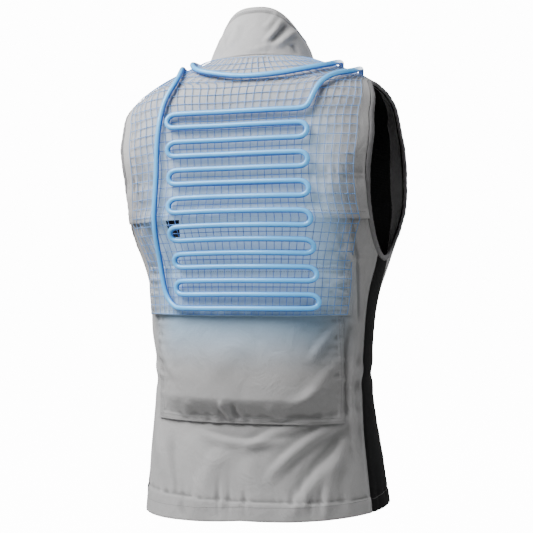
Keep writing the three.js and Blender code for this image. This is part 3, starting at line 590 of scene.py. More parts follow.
def net_spots(s, r):
    above = yoke_spots(s, np.maximum(r, 0))
    z = mix(-YOKE_EDGE, -NET_BOTTOM, np.clip(-r, 0, 1))
    foot = turn_of_x(NET_HALF_WIDTH * (1 - 2 * s), -NET_BOTTOM)
    turn = mix(yoke_spots(s, 0 * s)[0], foot, ease(0, 1, -r))
    return np.where(r >= 0, above[0], turn), np.where(r >= 0, above[1], level_of_z(turn, z))


# The cloth's form on the body: soft folds that go through all layers alike, in millimetres out
# from the body, each from one place to another with a half width and a height
BACK_FOLDS = [
    (-150, -536, -40, -622, 9, 5.2), (-152, -556, -70, -660, 10, -3), (-146, -534, -2, -580, 7, 3.4),
    (-140, -590, -66, -684, 12, 3.6), (-156, -540, -118, -690, 9, 2.8), (24, -575, 72, -690, 15, 3.2),
    (118, -560, 92, -690, 13, -2.8), (150, -470, 128, -640, 11, 3.6), (-158, -400, -161, -600, 5, 3.6),
    (-149, -400, -151, -560, 4, -2.2), (66, -562, -70, -566, 6, 2.4), (-176, -140, -128, -236, 13, 3.2),
    (-150, -120, -110, -168, 10, -1.8), (174, -132, 138, -214, 12, 2.8), (150, -70, 176, -150, 11, -2),
    (-118, -262, -168, -312, 7, 3.6), (-112, -306, -162, -262, 6, -2), (132, -300, 162, -256, 8, 2.6),
    (-60, -70, 60, -72, 10, 1.2), (96, -46, 158, -84, 10, 2), (-100, -48, -164, -88, 10, 2.2),
    (150, -330, 160, -440, 7, 2.6), (-8, -590, -36, -690, 14, 2.2),
]
FRONT_FOLDS = [
    (168, -292, 60, -336, 17, 3.2), (-168, -286, -70, -322, 17, 3), (160, -462, 44, -486, 13, 3),
    (-158, -470, -40, -500, 13, 3.2), (150, -430, 70, -420, 11, -2), (-150, -436, -66, -430, 11, -2),
    (110, -556, 128, -690, 18, 3.2), (-96, -548, -124, -690, 18, 3), (48, -580, 58, -690, 15, -2.4),
    (-40, -576, -56, -690, 15, 2.2), (120, -90, 70, -176, 16, 2), (-118, -96, -66, -180, 16, 2.2),
    (60, -520, 120, -540, 12, 2), (-54, -526, -130, -552, 12, 2.2),
]


# The depth of the soft swells all over and of the ripples at the waist's sides, and how far down
# those lie
SWELL = 1.1
WAIST_RIPPLE = 1.6
RIPPLES_DOWN = 478


def fold_lines(folds, x, z):
    lift = np.zeros_like(x)
    for x0, z0, x1, z1, width, height in folds:
        dx, dz = x1 - x0, z1 - z0
        length = math.hypot(dx, dz)
        along = ((x - x0) * dx + (z - z0) * dz) / length ** 2
        across = ((x - x0) * dz - (z - z0) * dx) / length
        bend = across + 0.06 * length * np.sin(math.pi * np.clip(along, 0, 1))
        ends = ease(-0.12, 0.25, along) * (1 - ease(0.72, 1.12, along))
        lift += height * ends * bump(bend, width)
    return lift


def folds(at):
    x, y, z = at[..., 0], at[..., 1], at[..., 2]
    lift = fold_lines(BACK_FOLDS, x, z) * ease(0, 50, y)
    lift += fold_lines(FRONT_FOLDS, x, z) * ease(0, 50, -y)
    waist = bump(z + RIPPLES_DOWN, 26) * ease(120, 165, np.abs(x))
    lift += WAIST_RIPPLE * waist * np.sin((z + 0.3 * y) / 7.5)
    swell = np.sin(x / 41 + z / 63 + 1) * np.sin(z / 47 - x / 33) + 0.5 * np.sin(z / 29 + x / 71 + y / 40)
    return lift + SWELL * swell * ease(0, -60, z)


# Small gathers along a seam, where the thread draws the cloth in
def gathers(along, across, pitch, depth, reach):
    wave = np.sin(along * 2 * math.pi / pitch + 1.9 * np.sin(along / (1.3 * pitch)))
    shift = 2.3 * np.sin(along / (2.1 * pitch) + 1)
    wave = wave + 0.7 * np.sin(along * 2 * math.pi / (0.57 * pitch) + shift)
    uneven = 0.55 + 0.45 * np.sin(along / (0.83 * pitch) + 0.4) * np.sin(along / (3.7 * pitch) + 2)
    return depth * wave * uneven * np.exp(-np.abs(across) / (reach * (0.7 + 0.6 * uneven)))


# How far each piece's inner face stands off the body
def yoke_offset(at):
    x, z = at[..., 0], at[..., 2]
    over = 1 - ease(-UNDER_YOKE + 2, -UNDER_YOKE + STEP_HEIGHT, z)
    free = 1 - ease(FLARE_FULL, FLARE_END, np.abs(x) / CHEST_HALF_WIDTH)
    return (CLOTH + LAYER_GAP) * over + YOKE_FLARE * free * (1 - ease(-YOKE_EDGE, -UNDER_YOKE, z))


def down_pocket(z):
    return (-z - POCKET_TOP) / (POCKET_BOTTOM - POCKET_TOP)


def pocket_offset(at):
    x, z = at[..., 0], at[..., 2]
    across = 1 - np.clip(np.abs(x) / POCKET_HALF_WIDTH, 0, 1) ** 4
    down = down_pocket(z)
    bulge = POCKET_BULGE * across * ease(0, BULGE_FULL, down) * (1 - ease(BULGE_END, 1, down))
    return CLOTH + LAYER_GAP + bulge


def flap_offset(at):
    over_pocket = ease(FLAP_TOP + 3, POCKET_TOP - 1, -at[..., 2])
    return pocket_offset(at) + (POCKET_CLOTH + LAYER_GAP) * over_pocket


def net_offset(at):
    over_yoke = ease(-FLAP_TOP, -YOKE_EDGE - 3, at[..., 2])
    return CLOTH + LAYER_GAP + mix(flap_offset(at), yoke_offset(at), over_yoke)


# The net and the tube are stretched over the folds, on an even cover of what lies under them. It is
# worked out on a flat grid behind the wearer, raised to the highest spot within a reach of some
# steps, and then evened in rounds.
COVER_STEP = 4
COVER_X = np.arange(-200, 201, COVER_STEP)
COVER_Z = np.arange(-404, 1, COVER_STEP)
COVER_REACH = 3
COVER_DEPTH = 100
COVER_ROUNDS = 9


def evened(grid, rounds):
    for axis in (0, 1):
        for _ in range(rounds):
            padded = np.concatenate([np.take(grid, [0], axis), grid, np.take(grid, [-1], axis)], axis)
            size = grid.shape[axis]
            low, middle, high = (np.take(padded, np.arange(k, k + size), axis) for k in range(3))
            grid = (low + 2 * middle + high) / 4
    return grid


def cover_grid():
    x, z = np.meshgrid(COVER_X, COVER_Z)
    at = np.stack([x, COVER_DEPTH + 0 * x, z], -1).astype(float)
    on_yoke = ease(-YOKE_EDGE - 4, -YOKE_EDGE, at[..., 2])
    on_flap = ease(-FLAP_TOP - 1, -FLAP_TOP - 5, at[..., 2])
    hem = FOLDED_EDGE * (1 - ease(YOKE_HEM + 2, YOKE_HEM + 4, at[..., 2] + YOKE_EDGE))
    lift = folds(at) + on_yoke * np.maximum(yoke_relief(at, 0, 0) + hem, 0)
    lift = lift + on_flap * np.maximum(flap_relief(at, 0, 0), 0)
    highest = lift
    for axis in (0, 1):
        for hop in range(-COVER_REACH, COVER_REACH + 1):
            highest = np.maximum(highest, np.roll(lift, hop, axis))
        lift = highest
    return evened(highest, COVER_ROUNDS)


def cover(at):
    u = np.clip((at[..., 0] - COVER_X[0]) / COVER_STEP, 0, len(COVER_X) - 1.001)
    v = np.clip((at[..., 2] - COVER_Z[0]) / COVER_STEP, 0, len(COVER_Z) - 1.001)
    i, j = u.astype(int), v.astype(int)
    p, q = u - i, v - j
    low = mix(COVER[j, i], COVER[j, i + 1], p)
    return mix(low, mix(COVER[j + 1, i], COVER[j + 1, i + 1], p), q)


# Where the sewn lines lie, and the depth and half width of the groove that a stitch line draws in
YOKE_SEAM = 186
YOKE_STITCH = 189.5
YOKE_HEM = 12
HEM_STITCH = 656
FOLDED_EDGE = 1.1
HEM_THICKNESS = 1.2
GROOVE = 0.9
GROOVE_WIDTH = 1.8
PLEAT_PLACE = 157
PLEAT_DEPTH = 6.2
FLY_WIDTH = 18
POCKET_BAND = 8
FLAP_BAND = 7
FLAP_STAND = 3.5
POCKET_SAG = 6
COLLAR_BAND = 9


# What each piece has of its own: hems, seams, gathers and pleats
def nothing(at, s, r):
    return 0 * s


def yoke_relief(at, s, r):
    x, z = at[..., 0], at[..., 2]
    below_seam = FOLDED_EDGE * (1 - ease(-YOKE_SEAM - 1, -YOKE_SEAM + 1, z))
    thread = -GROOVE * bump(z + YOKE_STITCH, GROOVE_WIDTH)
    draw = gathers(x, z + YOKE_SEAM, 19, 1.2, 13) * ease(60, 130, np.abs(x))
    free = gathers(x, z + YOKE_EDGE, 46, 1.1, 14) * ease(0, 70, np.abs(x))
    return below_seam + thread + draw + free - 0.7 * bump(z + YOKE_EDGE - YOKE_HEM, GROOVE_WIDTH)


def hem_relief(x, z):
    return gathers(x, z + HEM_STITCH, 25, 1.1, 12) - GROOVE * bump(z + HEM_STITCH, 2)


def back_relief(at, s, r):
    x, z = at[..., 0], at[..., 2]
    pleat = np.abs(x) - PLEAT_PLACE
    reach = ease(-412, -370, z)
    crease = PLEAT_DEPTH * bump(pleat + 5, 7) * (1 - ease(-1, 2.5, pleat)) - 0.8 * bump(pleat - 3, 2.6)
    seams = 0.9 * bump(np.abs(s - 0.5) - 0.488, 0.006)
    return reach * crease + hem_relief(x, z) + seams


def front_relief(at, s, r):
    x, z = at[..., 0], at[..., 2]
    away = np.abs(x) - FLY_WIDTH
    fly = 0.9 * (1 - ease(-1, 1, away)) - 0.6 * bump(away - 1.5, 1.6)
    return hem_relief(x, z) + fly


def side_relief(at, s, r):
    y, z = at[..., 1], at[..., 2]
    edge = SIDE_WIDTH * np.minimum(s, 1 - s)
    tucked = (CLOTH + TUCK_GAP) * (1 - ease(SIDE_TUCK, SIDE_TUCK + TUCK_SLOPE, edge))
    return hem_relief(y, z) + gathers(z, edge, 31, 0.5, 9) - tucked


POCKET_FOLDS = [
    (26, -512, 12, -543, 5, 4.4), (8, -514, 2, -541, 4, -3), (-40, -518, -64, -541, 8, 2.6),
    (-137, -400, -96, -452, 7, 3.4), (-138, -450, -86, -514, 8, 3), (130, -430, 96, -480, 8, 2.6),
    (70, -516, 92, -540, 8, 2.4), (-20, -420, 40, -470, 20, 2.2), (-137, -480, -60, -530, 8, 2.6),
]
FLAP_FOLDS = [(-147, -330, -112, -354, 4, 3), (-147, -360, -110, -340, 4, 2.6)]


def pocket_relief(at, s, r):
    x, z = at[..., 0], at[..., 2]
    edge = POCKET_HALF_WIDTH - np.abs(x)
    foot = z + POCKET_BOTTOM
    band = FOLDED_EDGE * (1 - ease(POCKET_BAND, POCKET_BAND + 1.2, np.minimum(edge, foot)))
    draw = gathers(z, edge, 23, 1.5, 13) + gathers(x, foot, 36, 1.1, 15)
    inner = ease(0, 12, edge) * ease(0, 12, foot)
    down = down_pocket(z)
    sag = POCKET_SAG * ease(0, 60, edge) * ease(0.3, 0.76, down) * (1 - ease(0.82, 1, down))
    return band + draw + sag + inner * fold_lines(POCKET_FOLDS, x, z)


def flap_relief(at, s, r):
    x, z = at[..., 0], at[..., 2]
    edge = FLAP_HALF_WIDTH - np.abs(x)
    top, foot = -FLAP_TOP - z, z + FLAP_TOP + FLAP_HEIGHT
    ridge = 1.4 * bump(top - 4, 4) - GROOVE * bump(top - 10, 2)
    band = FOLDED_EDGE * (1 - ease(FLAP_BAND, FLAP_BAND + 1.2, np.minimum(edge, foot)))
    draw = gathers(z, edge - 8, 17, 1.4, 13) + gathers(x, foot, 38, 1.2, 10)
    stand = FLAP_STAND * ease(FLAP_HALF_WIDTH - 21, FLAP_HALF_WIDTH, x) * ease(20, 60, top)
    return ridge + band + draw + stand + fold_lines(FLAP_FOLDS, x, z)


def lining_relief(at, s, r):
    x, z = at[..., 0], at[..., 2]
    return -0.5 + 0.5 * np.sin(z / 19 + x / 31)


def yoke_thick(at, s, r):
    return FOLDED_EDGE * (1 - ease(YOKE_HEM, YOKE_HEM + 2, at[..., 2] + YOKE_EDGE))


def hem_thick(at, s, r):
    return HEM_THICKNESS * (1 - ease(-HEM_STITCH - 1, -HEM_STITCH + 1, at[..., 2]))


COVER = cover_grid()


# Meshes. Points are in millimetres and faces are rows of four corners.
def add_piece(name, points, faces, uv):
    mesh = bpy.data.meshes.new(name)
    mesh.vertices.add(len(points))
    mesh.vertices.foreach_set("co", (np.asarray(points, float) / 1000).ravel())
    mesh.loops.add(faces.size)
    mesh.loops.foreach_set("vertex_index", faces.astype(np.int32).ravel())
    mesh.polygons.add(len(faces))
    mesh.polygons.foreach_set("loop_start", np.arange(0, faces.size, 4, dtype=np.int32))
    mesh.polygons.foreach_set("use_smooth", np.ones(len(faces), dtype=bool))
    layer = mesh.uv_layers.new(name="cloth")
    layer.data.foreach_set("uv", np.asarray(uv, float)[faces.ravel()].ravel())
    mesh.update(calc_edges=True)
    mesh.validate()
    piece = bpy.data.objects.new(name, mesh)
    bpy.context.scene.collection.objects.link(piece)
    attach(piece, "root")
    return piece


def outward(points, faces):
    a, b, c, d = (points[faces[:, k]] for k in range(4))
    volume = (a * np.cross(b, c)).sum() + (a * np.cross(c, d)).sum()
    return faces[:, ::-1] if volume < 0 else faces


def quads(a, b, c, d):
    return np.stack([side.ravel() for side in (a, b, c, d)], -1)


def shell(name, inner, outer, uv):
    high, wide = inner.shape[:2]
    points = np.concatenate([inner.reshape(-1, 3), outer.reshape(-1, 3)])
    low, top = np.arange(2 * high * wide).reshape(2, high, wide)
    faces = np.concatenate([
        quads(top[:-1, :-1], top[1:, :-1], top[1:, 1:], top[:-1, 1:]),
        quads(low[:-1, :-1], low[:-1, 1:], low[1:, 1:], low[1:, :-1]),
        quads(low[0, :-1], top[0, :-1], top[0, 1:], low[0, 1:]),
        quads(low[-1, :-1], low[-1, 1:], top[-1, 1:], top[-1, :-1]),
        quads(low[:-1, 0], low[1:, 0], top[1:, 0], top[:-1, 0]),
        quads(low[:-1, -1], top[:-1, -1], top[1:, -1], low[1:, -1]),
    ])
    flat_uv = uv.reshape(-1, 2)
    return add_piece(name, points, outward(points, faces), np.concatenate([flat_uv, flat_uv]))


def lengths(points, axis):
    steps = np.linalg.norm(np.diff(points, axis=axis), axis=-1)
    start = np.zeros_like(np.take(steps, [0], axis=axis))
    return np.concatenate([start, np.cumsum(steps, axis=axis)], axis=axis)


# The points of a line at the given ways along it
def along_line(stops, way, line):
    return np.stack([np.interp(stops, way, line[:, k]) for k in range(3)], -1)


def area_of(points):
    a, b, c, d = points[:-1, :-1], points[1:, :-1], points[1:, 1:], points[:-1, 1:]
    halves = np.cross(b - a, d - a), np.cross(b - c, d - c)
    return (np.linalg.norm(halves[0], axis=-1) + np.linalg.norm(halves[1], axis=-1)).sum() / 2


# How deep each point lies in a groove or a fold's valley, from 0 to 1, which the shell darkens as painted
# shade
CAVITY_ROUNDS = 14
CAVITY_DEPTH = 0.8


def cavity_of(inner, outer):
    smooth = outer.copy()
    for _ in range(CAVITY_ROUNDS):
        smooth[1:-1] = (smooth[:-2] + 2 * smooth[1:-1] + smooth[2:]) / 4
        smooth[:, 1:-1] = (smooth[:, :-2] + 2 * smooth[:, 1:-1] + smooth[:, 2:]) / 4
    depth = ((smooth - outer) * unit(outer - inner)).sum(-1)
    depth[:3], depth[-3:], depth[:, :3], depth[:, -3:] = 0, 0, 0, 0
    return np.clip(depth / CAVITY_DEPTH, 0, 1)


# Painted shadow: how dark the cloth is painted beside the yoke, the flap and the pocket that lie on it,
# from 0 to 1
SHADE_REACH = 5


def beside_patch(x, z, half_width, top, bottom):
    away = np.hypot(np.maximum(np.abs(x) - half_width, 0), np.maximum(np.maximum(z - top, bottom - z), 0))
    return np.exp(-(away / SHADE_REACH) ** 2) * (away > 0.2)


def shade_on_back(x, z):
    under_yoke = np.exp(-np.abs(z + YOKE_EDGE) / (2 * SHADE_REACH)) * (z < -YOKE_EDGE + 4)
    pocket = beside_patch(x, z, POCKET_HALF_WIDTH, -POCKET_TOP, -POCKET_BOTTOM)
    flap = beside_patch(x, z, FLAP_HALF_WIDTH, -FLAP_TOP, -FLAP_TOP - FLAP_HEIGHT)
    return np.maximum(under_yoke, np.maximum(pocket, flap))


def shade_on_pocket(x, z):
    foot = -FLAP_TOP - FLAP_HEIGHT
    under_flap = np.exp(-((z - foot) / (2 * SHADE_REACH)) ** 2) * (z < foot + 2)
    # Painted shadow under the flap, and painted shade that grows towards the pocket's lower part
    return np.maximum(under_flap, 0.4 * ease(0.3, 0.95, down_pocket(z)))


SHADES = {"back_panel_cloth": shade_on_back, "back_pocket_cloth": shade_on_pocket}


# A sheet of cloth between an inner and an outer face, and its cut size
def cloth_piece(name, replaces, skin, thickness, columns, rows, extra=nothing):
    s, r = np.meshgrid(columns, rows)
    more = extra(skin(s, r, 0), s, r)
    edge = (s == s.min()) | (s == s.max()) | (r == r.min()) | (r == r.max())
    inset = np.where(edge, 0.3 * thickness, 0)
    inner = skin(s, r, inset)
    outer = skin(s, r, thickness + more - inset)
    across, up = lengths(outer, 1), lengths(outer, 0)
    middle = across[:, -1:] / 2
    uv = np.stack([across - middle, up], -1) / 1000
    piece = shell(name, inner, outer, uv)
    # Painted shade: groove and fold depth, with painted shadow beside the pieces that lie on the back and
    # the pocket, kept as a point attribute that darkens the cloth's colour
    painted_shade = cavity_of(inner, outer)
    if name in SHADES:
        painted_shade = np.maximum(painted_shade, SHADES[name](outer[..., 0], outer[..., 2]))
    values = np.concatenate([0 * painted_shade.ravel(), painted_shade.ravel()])
    piece.data.attributes.new("painted_shade", "FLOAT", "POINT").data.foreach_set("value", values)
    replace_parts(piece, *replaces)
    wide, long = round(across[:, -1].max() / 1000, 4), round(up[-1].max() / 1000, 4)
    min(area_of(outer) / 1e6, wide * long)
    return piece


# Shares from 0 to 1 with a narrow step at each end, through the given corners
def shares(count, *corners):
    ends = [0, *corners, 1]
    parts = [np.linspace(a, b, max(2, round(count * (b - a)) + 1)) for a, b in zip(ends, ends[1:])]
    return np.unique(np.concatenate([*parts, [0.25 / count, 1 - 0.25 / count]]))


# The face of a body-hugging sheet: a function of shares and a distance out from its inner face
SKINS = {}


def body_skin(name, spots, offset, relief):
    def skin(s, r, out):
        turn, level = spots(s, r)
        at = body_point(turn, level)
        return off_body(turn, level, offset(at) + folds(at) + relief(at, s, r) + out)
    SKINS[name] = skin
    return skin


def steady(value):
    return lambda at: value + 0 * at[..., 0]


def on_side(spots, right):
    return (lambda s, r: mirrored(spots(s, r))) if right else spots


# The back panel's top hangs down a little at the wearer's left, and leaves the yoke's vent open
VENT_OUTER, VENT_INNER, VENT_DROP = 118, 95, 60


def back_panel_spots(s, r):
    turn, level = back_spots(s, r)
    at = body_point(turn, level)
    x, z = at[..., 0], at[..., 2]
    open_here = ease(VENT_INNER - 5, VENT_INNER, x) * (1 - ease(VENT_OUTER, VENT_OUTER + 5, x))
    drop = VENT_DROP * open_here * ease(-345, -UNDER_YOKE, z)
    return turn, np.where(drop > 0, level_of_z(turn, z - drop), level)


def collar_point(turn, share, off):
    c, d = np.cos(turn), np.sin(turn)
    y = np.where(d > 0, COLLAR_TOP_BACK, COLLAR_TOP_FRONT) * d - COLLAR_LEAN
    behind_z = mix(COLLAR_HEIGHT, COLLAR_SIDE_HEIGHT, np.abs(c) ** 3)
    z = np.where(d > 0, behind_z, mix(COLLAR_FRONT_HEIGHT - NECK_FRONT_DROP, COLLAR_SIDE_HEIGHT, c * c))
    top = np.stack([COLLAR_TOP_HALF_WIDTH * c, y, z], -1)
    at = mix(neck_point(turn), top, share[..., None])
    out = off + COLLAR_SWELL * np.sin(math.pi * share)
    return at + np.stack([c, d, 0 * c], -1) * out[..., None]


COLLAR_END = math.asin((ZIP_WIDTH / 2 + EDGE_GAP) / (0.9 * NECK_HALF_WIDTH))
COLLAR_FOLDS = [
    (-22, 20, -42, 64, 5, 3.6), (-36, 12, -60, 48, 5, 3.6), (-30, 20, -50, 54, 4, -2.6),
    (34, 18, 22, 60, 7, 2.6), (48, 10, 56, 40, 6, 2.4), (6, 8, -30, 16, 5, 2.2), (-66, 2, -58, 20, 4, -3),
    (-20, 44, -34, 76, 5, 2.4),
]


# The lowest part of the collar is turned down inside the neck, as the cloth of its seam
COLLAR_FOOT = 0.1
FOOT_DEPTH = 8
FOOT_INSET = 3.4


def collar_skin(s, r, out):
    turn = -QUARTER + mix(COLLAR_END, 4 * QUARTER - COLLAR_END, s)
    share = mix(0.01, 1, np.clip((r - COLLAR_FOOT) / (1 - COLLAR_FOOT), 0, 1))
    foot = np.clip(1 - r / COLLAR_FOOT, 0, 1)
    at = collar_point(turn, share, 0 * s)
    behind = ease(-20, 20, at[..., 1])
    crease = fold_lines(COLLAR_FOLDS, at[..., 0], at[..., 2]) * behind
    crease += 0.8 * np.sin(turn * 9 + share * 4) * np.sin(math.pi * share) * (1 - behind)
    height = mix(COLLAR_SIDE_HEIGHT, COLLAR_HEIGHT, np.clip(np.sin(turn), 0, 1))
    band = FOLDED_EDGE * ease(1 - COLLAR_BAND / height, 1 - (COLLAR_BAND - 1.2) / height, share)
    band = band - GROOVE * bump((1 - share) * height - COLLAR_BAND - 0.8, GROOVE_WIDTH)
    inward = FOOT_INSET * np.minimum(1, 3 * foot)
    off = out + crease * np.sin(math.pi * share) ** 0.5 + band - CLOTH / 2 - inward
    return collar_point(turn, share, off) - foot[..., None] * (0, 0, FOOT_DEPTH)


SKINS["collar"] = collar_skin


def shell_pieces():
    cloth_piece(
        "back_yoke_cloth", ["back_yoke"],
        body_skin("yoke", yoke_spots, yoke_offset, yoke_relief),
        CLOTH, shares(190), shares(110, YOKE_SHOULDER), yoke_thick)
    cloth_piece(
        "back_panel_cloth", ["back_panel"],
        body_skin("back", back_panel_spots, steady(0), back_relief),
        CLOTH, shares(190), shares(190, BACK_ARMHOLE), hem_thick)
    cloth_piece(
        "back_lining_mesh", ["back_lining"],
        body_skin("back_lining", back_lining_spots, steady(-LAYER_GAP - LINING), lining_relief),
        LINING, shares(90), shares(130, LINING_ARMHOLE, LINING_SHOULDER))
    for right in (False, True):
        side = "right" if right else "left"
        front, flank = on_side(front_spots, right), on_side(side_spots, right)
        cloth_piece(
            f"{side}_front_cloth", [f"{side}_front"],
            body_skin(f"{side}_front", front, steady(0), front_relief),
            CLOTH, shares(90), shares(210, FRONT_ARMHOLE, FRONT_SHOULDER), hem_thick)
        cloth_piece(
            f"{side}_side_knit", [f"{side}_side_panel"],
            body_skin(f"{side}_side", flank, steady(0), side_relief),
            CLOTH, shares(40), shares(150), hem_thick)
        cloth_piece(
            f"{side}_front_lining_mesh", [f"{side}_front_lining"],
            body_skin(f"{side}_front_lining", front, steady(-LAYER_GAP - LINING), lining_relief),
            LINING, shares(46), shares(120, FRONT_ARMHOLE, FRONT_SHOULDER))
        facing = body_skin(f"{side}_facing", front, steady(-2 * LAYER_GAP - 2 * LINING), lining_relief)
        cloth_piece(
            f"{side}_front_facing_cloth", [f"{side}_front_facing"],
            facing, LINING, shares(24) * 2 / 9, mix(FRONT_ARMHOLE, FRONT_SHOULDER, shares(90)))
    cloth_piece(
        "collar_cloth", ["collar"], collar_skin,
        CLOTH, shares(240), shares(50, COLLAR_FOOT))
    cloth_piece(
        "back_pocket_cloth", ["back_pocket"],
        body_skin("pocket", pocket_spots, pocket_offset, pocket_relief),
        POCKET_CLOTH, shares(150), shares(110))
    cloth_piece(
        "pocket_flap_cloth", ["pocket_flap"],
        body_skin("flap", flap_spots, flap_offset, flap_relief),
        CLOTH, shares(150), shares(44))


# Rings of corners made into a closed surface, as a loop or with flat ends of four corners each
def ringed(rings, loop):
    count, sides = rings.shape[:2]
    index = np.arange(count * sides).reshape(count, sides)
    after = np.roll(index, -1, axis=0) if loop else index[1:]
    before = index if loop else index[:-1]
    around = lambda ring: np.roll(ring, -1, axis=1)
    faces = [quads(before, around(before), around(after), after)]
    for ring in () if loop else (index[0], index[-1][::-1]):
        for k in range(1, sides - 2, 2):
            faces.append(ring[[0, k, k + 1, k + 2]][None])
    return index, np.concatenate(faces)


def armhole_bindings():
    angles = np.linspace(0, 4 * QUARTER, 220, endpoint=False)
    around = np.linspace(0, 2 * math.pi, 12, endpoint=False)
    c, d = np.cos(around), np.sin(around)
    out = BINDING_WIDTH * (0.5 + 0.5 * np.sign(c) * np.abs(c) ** 0.7)
    off = BINDING_THICKNESS / 2 * np.sign(d) * np.abs(d) ** 0.6
    spots = [beside_armhole(angles, float(reach)) for reach in out]
    for right in (False, True):
        side = "right" if right else "left"
        columns = []
        for (turn, level), reach in zip(spots, off):
            turn, level = mirrored((turn, level)) if right else (turn, level)
            at = body_point(turn, level)
            ripple = 0.25 * np.sin(angles * 61) + 0.2 * np.sin(angles * 23)
            columns.append(off_body(turn, level, folds(at) + reach + ripple))
        rings = np.stack(columns, 1)
        _, faces = ringed(rings, True)
        round_way = lengths(rings, 0)[:, :1] + 0 * rings[..., 0]
        uv = np.stack([round_way, lengths(rings, 1)], -1).reshape(-1, 2) / 1000
        points = rings.reshape(-1, 3)
        piece = add_piece(f"{side}_armhole_tape", points, outward(points, faces), uv)
        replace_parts(piece, f"{side}_armhole_binding")


# Stitches: short threads that lie on the cloth along a line
STITCH_PITCH = 3.4
STITCH_LENGTH = 2.3
STITCH_WIDTH = 0.65
EDGE_STITCH, SECOND_STITCH = 3, 8
HEM_UP = 28
STITCHES = []


def stitch_line(name, s, r, out):
    line = SKINS[name](s, r, out)
    above = SKINS[name](s, r, out + 1)
    way = lengths(line, 0)
    stops = np.arange(STITCH_PITCH / 2, way[-1], STITCH_PITCH)
    at, ahead = along_line(stops, way, line), along_line(stops + 1, way, line)
    up = unit(along_line(stops, way, above - line))
    along = unit(ahead - at + 1e-6)
    STITCHES.append((at[:-1], along[:-1], up[:-1]))


# A line beside one edge of a sheet, at a distance from it
def beside_edge(name, edge, distance, out, start=0.01, end=0.99):
    run = np.linspace(start, end, 260)
    at_low = edge in ("left", "bottom")
    fixed = np.full_like(run, 0 if at_low else 1)
    near = fixed + (0.004 if at_low else -0.004)
    skin = SKINS[name]
    if edge in ("left", "right"):
        step = np.linalg.norm(skin(near, run, 0) - skin(fixed, run, 0), axis=-1)
        stitch_line(name, fixed + (near - fixed) * distance / step, run, out)
    else:
        step = np.linalg.norm(skin(run, near, 0) - skin(run, fixed, 0), axis=-1)
        stitch_line(name, run, fixed + (near - fixed) * distance / step, out)


def seam_threads():
    thick = CLOTH + 0.05
    beside_edge("yoke", "bottom", YOKE_HEM - 1, thick + FOLDED_EDGE)
    for distance in (EDGE_STITCH, SECOND_STITCH):
        for edge in ("left", "right", "bottom"):
            beside_edge("pocket", edge, distance, POCKET_CLOTH)
        for edge in ("left", "right"):
            beside_edge("flap", edge, distance, thick)
    for edge, distance in (("bottom", FLAP_BAND), ("top", EDGE_STITCH), ("top", SECOND_STITCH + 1)):
        beside_edge("flap", edge, distance, thick)
    beside_edge("collar", "top", COLLAR_BAND - 1.5, thick, 0.02, 0.98)
    beside_edge("back", "bottom", HEM_UP, thick + HEM_THICKNESS)
    for edge in ("left", "right"):
        beside_edge("back", edge, EDGE_STITCH, thick, 0.02, 0.78)
    for side in ("left", "right"):
        beside_edge(f"{side}_front", "bottom", HEM_UP, thick + HEM_THICKNESS)
        beside_edge(f"{side}_front", "right", 12, thick, 0.02, 0.84)
        beside_edge(f"{side}_side", "bottom", HEM_UP, thick + HEM_THICKNESS)
    run = np.linspace(0.02, 0.98, 260)
    z = -YOKE_SEAM - 3 + 0 * run
    stitch_line("yoke", run, np.interp(z, *yoke_height()), thick)
    at, along, up = (np.concatenate(part) for part in zip(*STITCHES))
    across = np.cross(along, up)
    width, half = STITCH_WIDTH / 2, STITCH_LENGTH / 2
    rings = []
    arch = ((-half, 0.3, -0.15), (-half * 0.6, 1, 0.1), (half * 0.6, 1, 0.1), (half, 0.3, -0.15))
    for place, size, lift in arch:
        middle = at + along * place + up * lift
        corners = [across, up, -across, -up]
        rings.append(np.stack([middle + corner * width * size for corner in corners], 1))
    rings = np.stack(rings, 1)
    one, faces = ringed(rings[0], False)
    count = len(at)
    all_faces = (faces[None] + one.size * np.arange(count)[:, None, None]).reshape(-1, 4)
    points = rings.reshape(-1, 3)
    uv = np.tile(np.linspace(0, 1, one.size)[:, None], (count, 2)).reshape(-1, 2)
    piece = add_piece("seam_threads", points, outward(points, all_faces), uv)


def yoke_height():
    r = np.linspace(0, 0.7, 200)
    z = SKINS["yoke"](0.5 + 0 * r, r, 0)[:, 2]
    return z, r


# The net: threads along the yoke's own lines, a little closer than the tube's rows
NET_CELL_WIDE = 10.5
NET_CELL_HIGH = 13.5
NET_THREAD = 0.52
EDGE_COLUMN = 0.05
DOWN_THREAD_SUNK, ACROSS_THREAD_SUNK = 0.6, 0.8


def net_skin(s, r, out):
    turn, level = net_spots(s, r)
    at = body_point(turn, level)
    return off_body(turn, level, net_offset(at) + cover(at) + out)


def thread_rings(line, radius):
    along = unit(np.gradient(line, axis=0))
    out = np.array([0, 1, 0]) + 0 * along
    up = unit(out - along * (out * along).sum(-1, keepdims=True))
    across = np.cross(along, up)
    return np.stack([line + corner * radius for corner in (across, up, -across, -up)], 1)


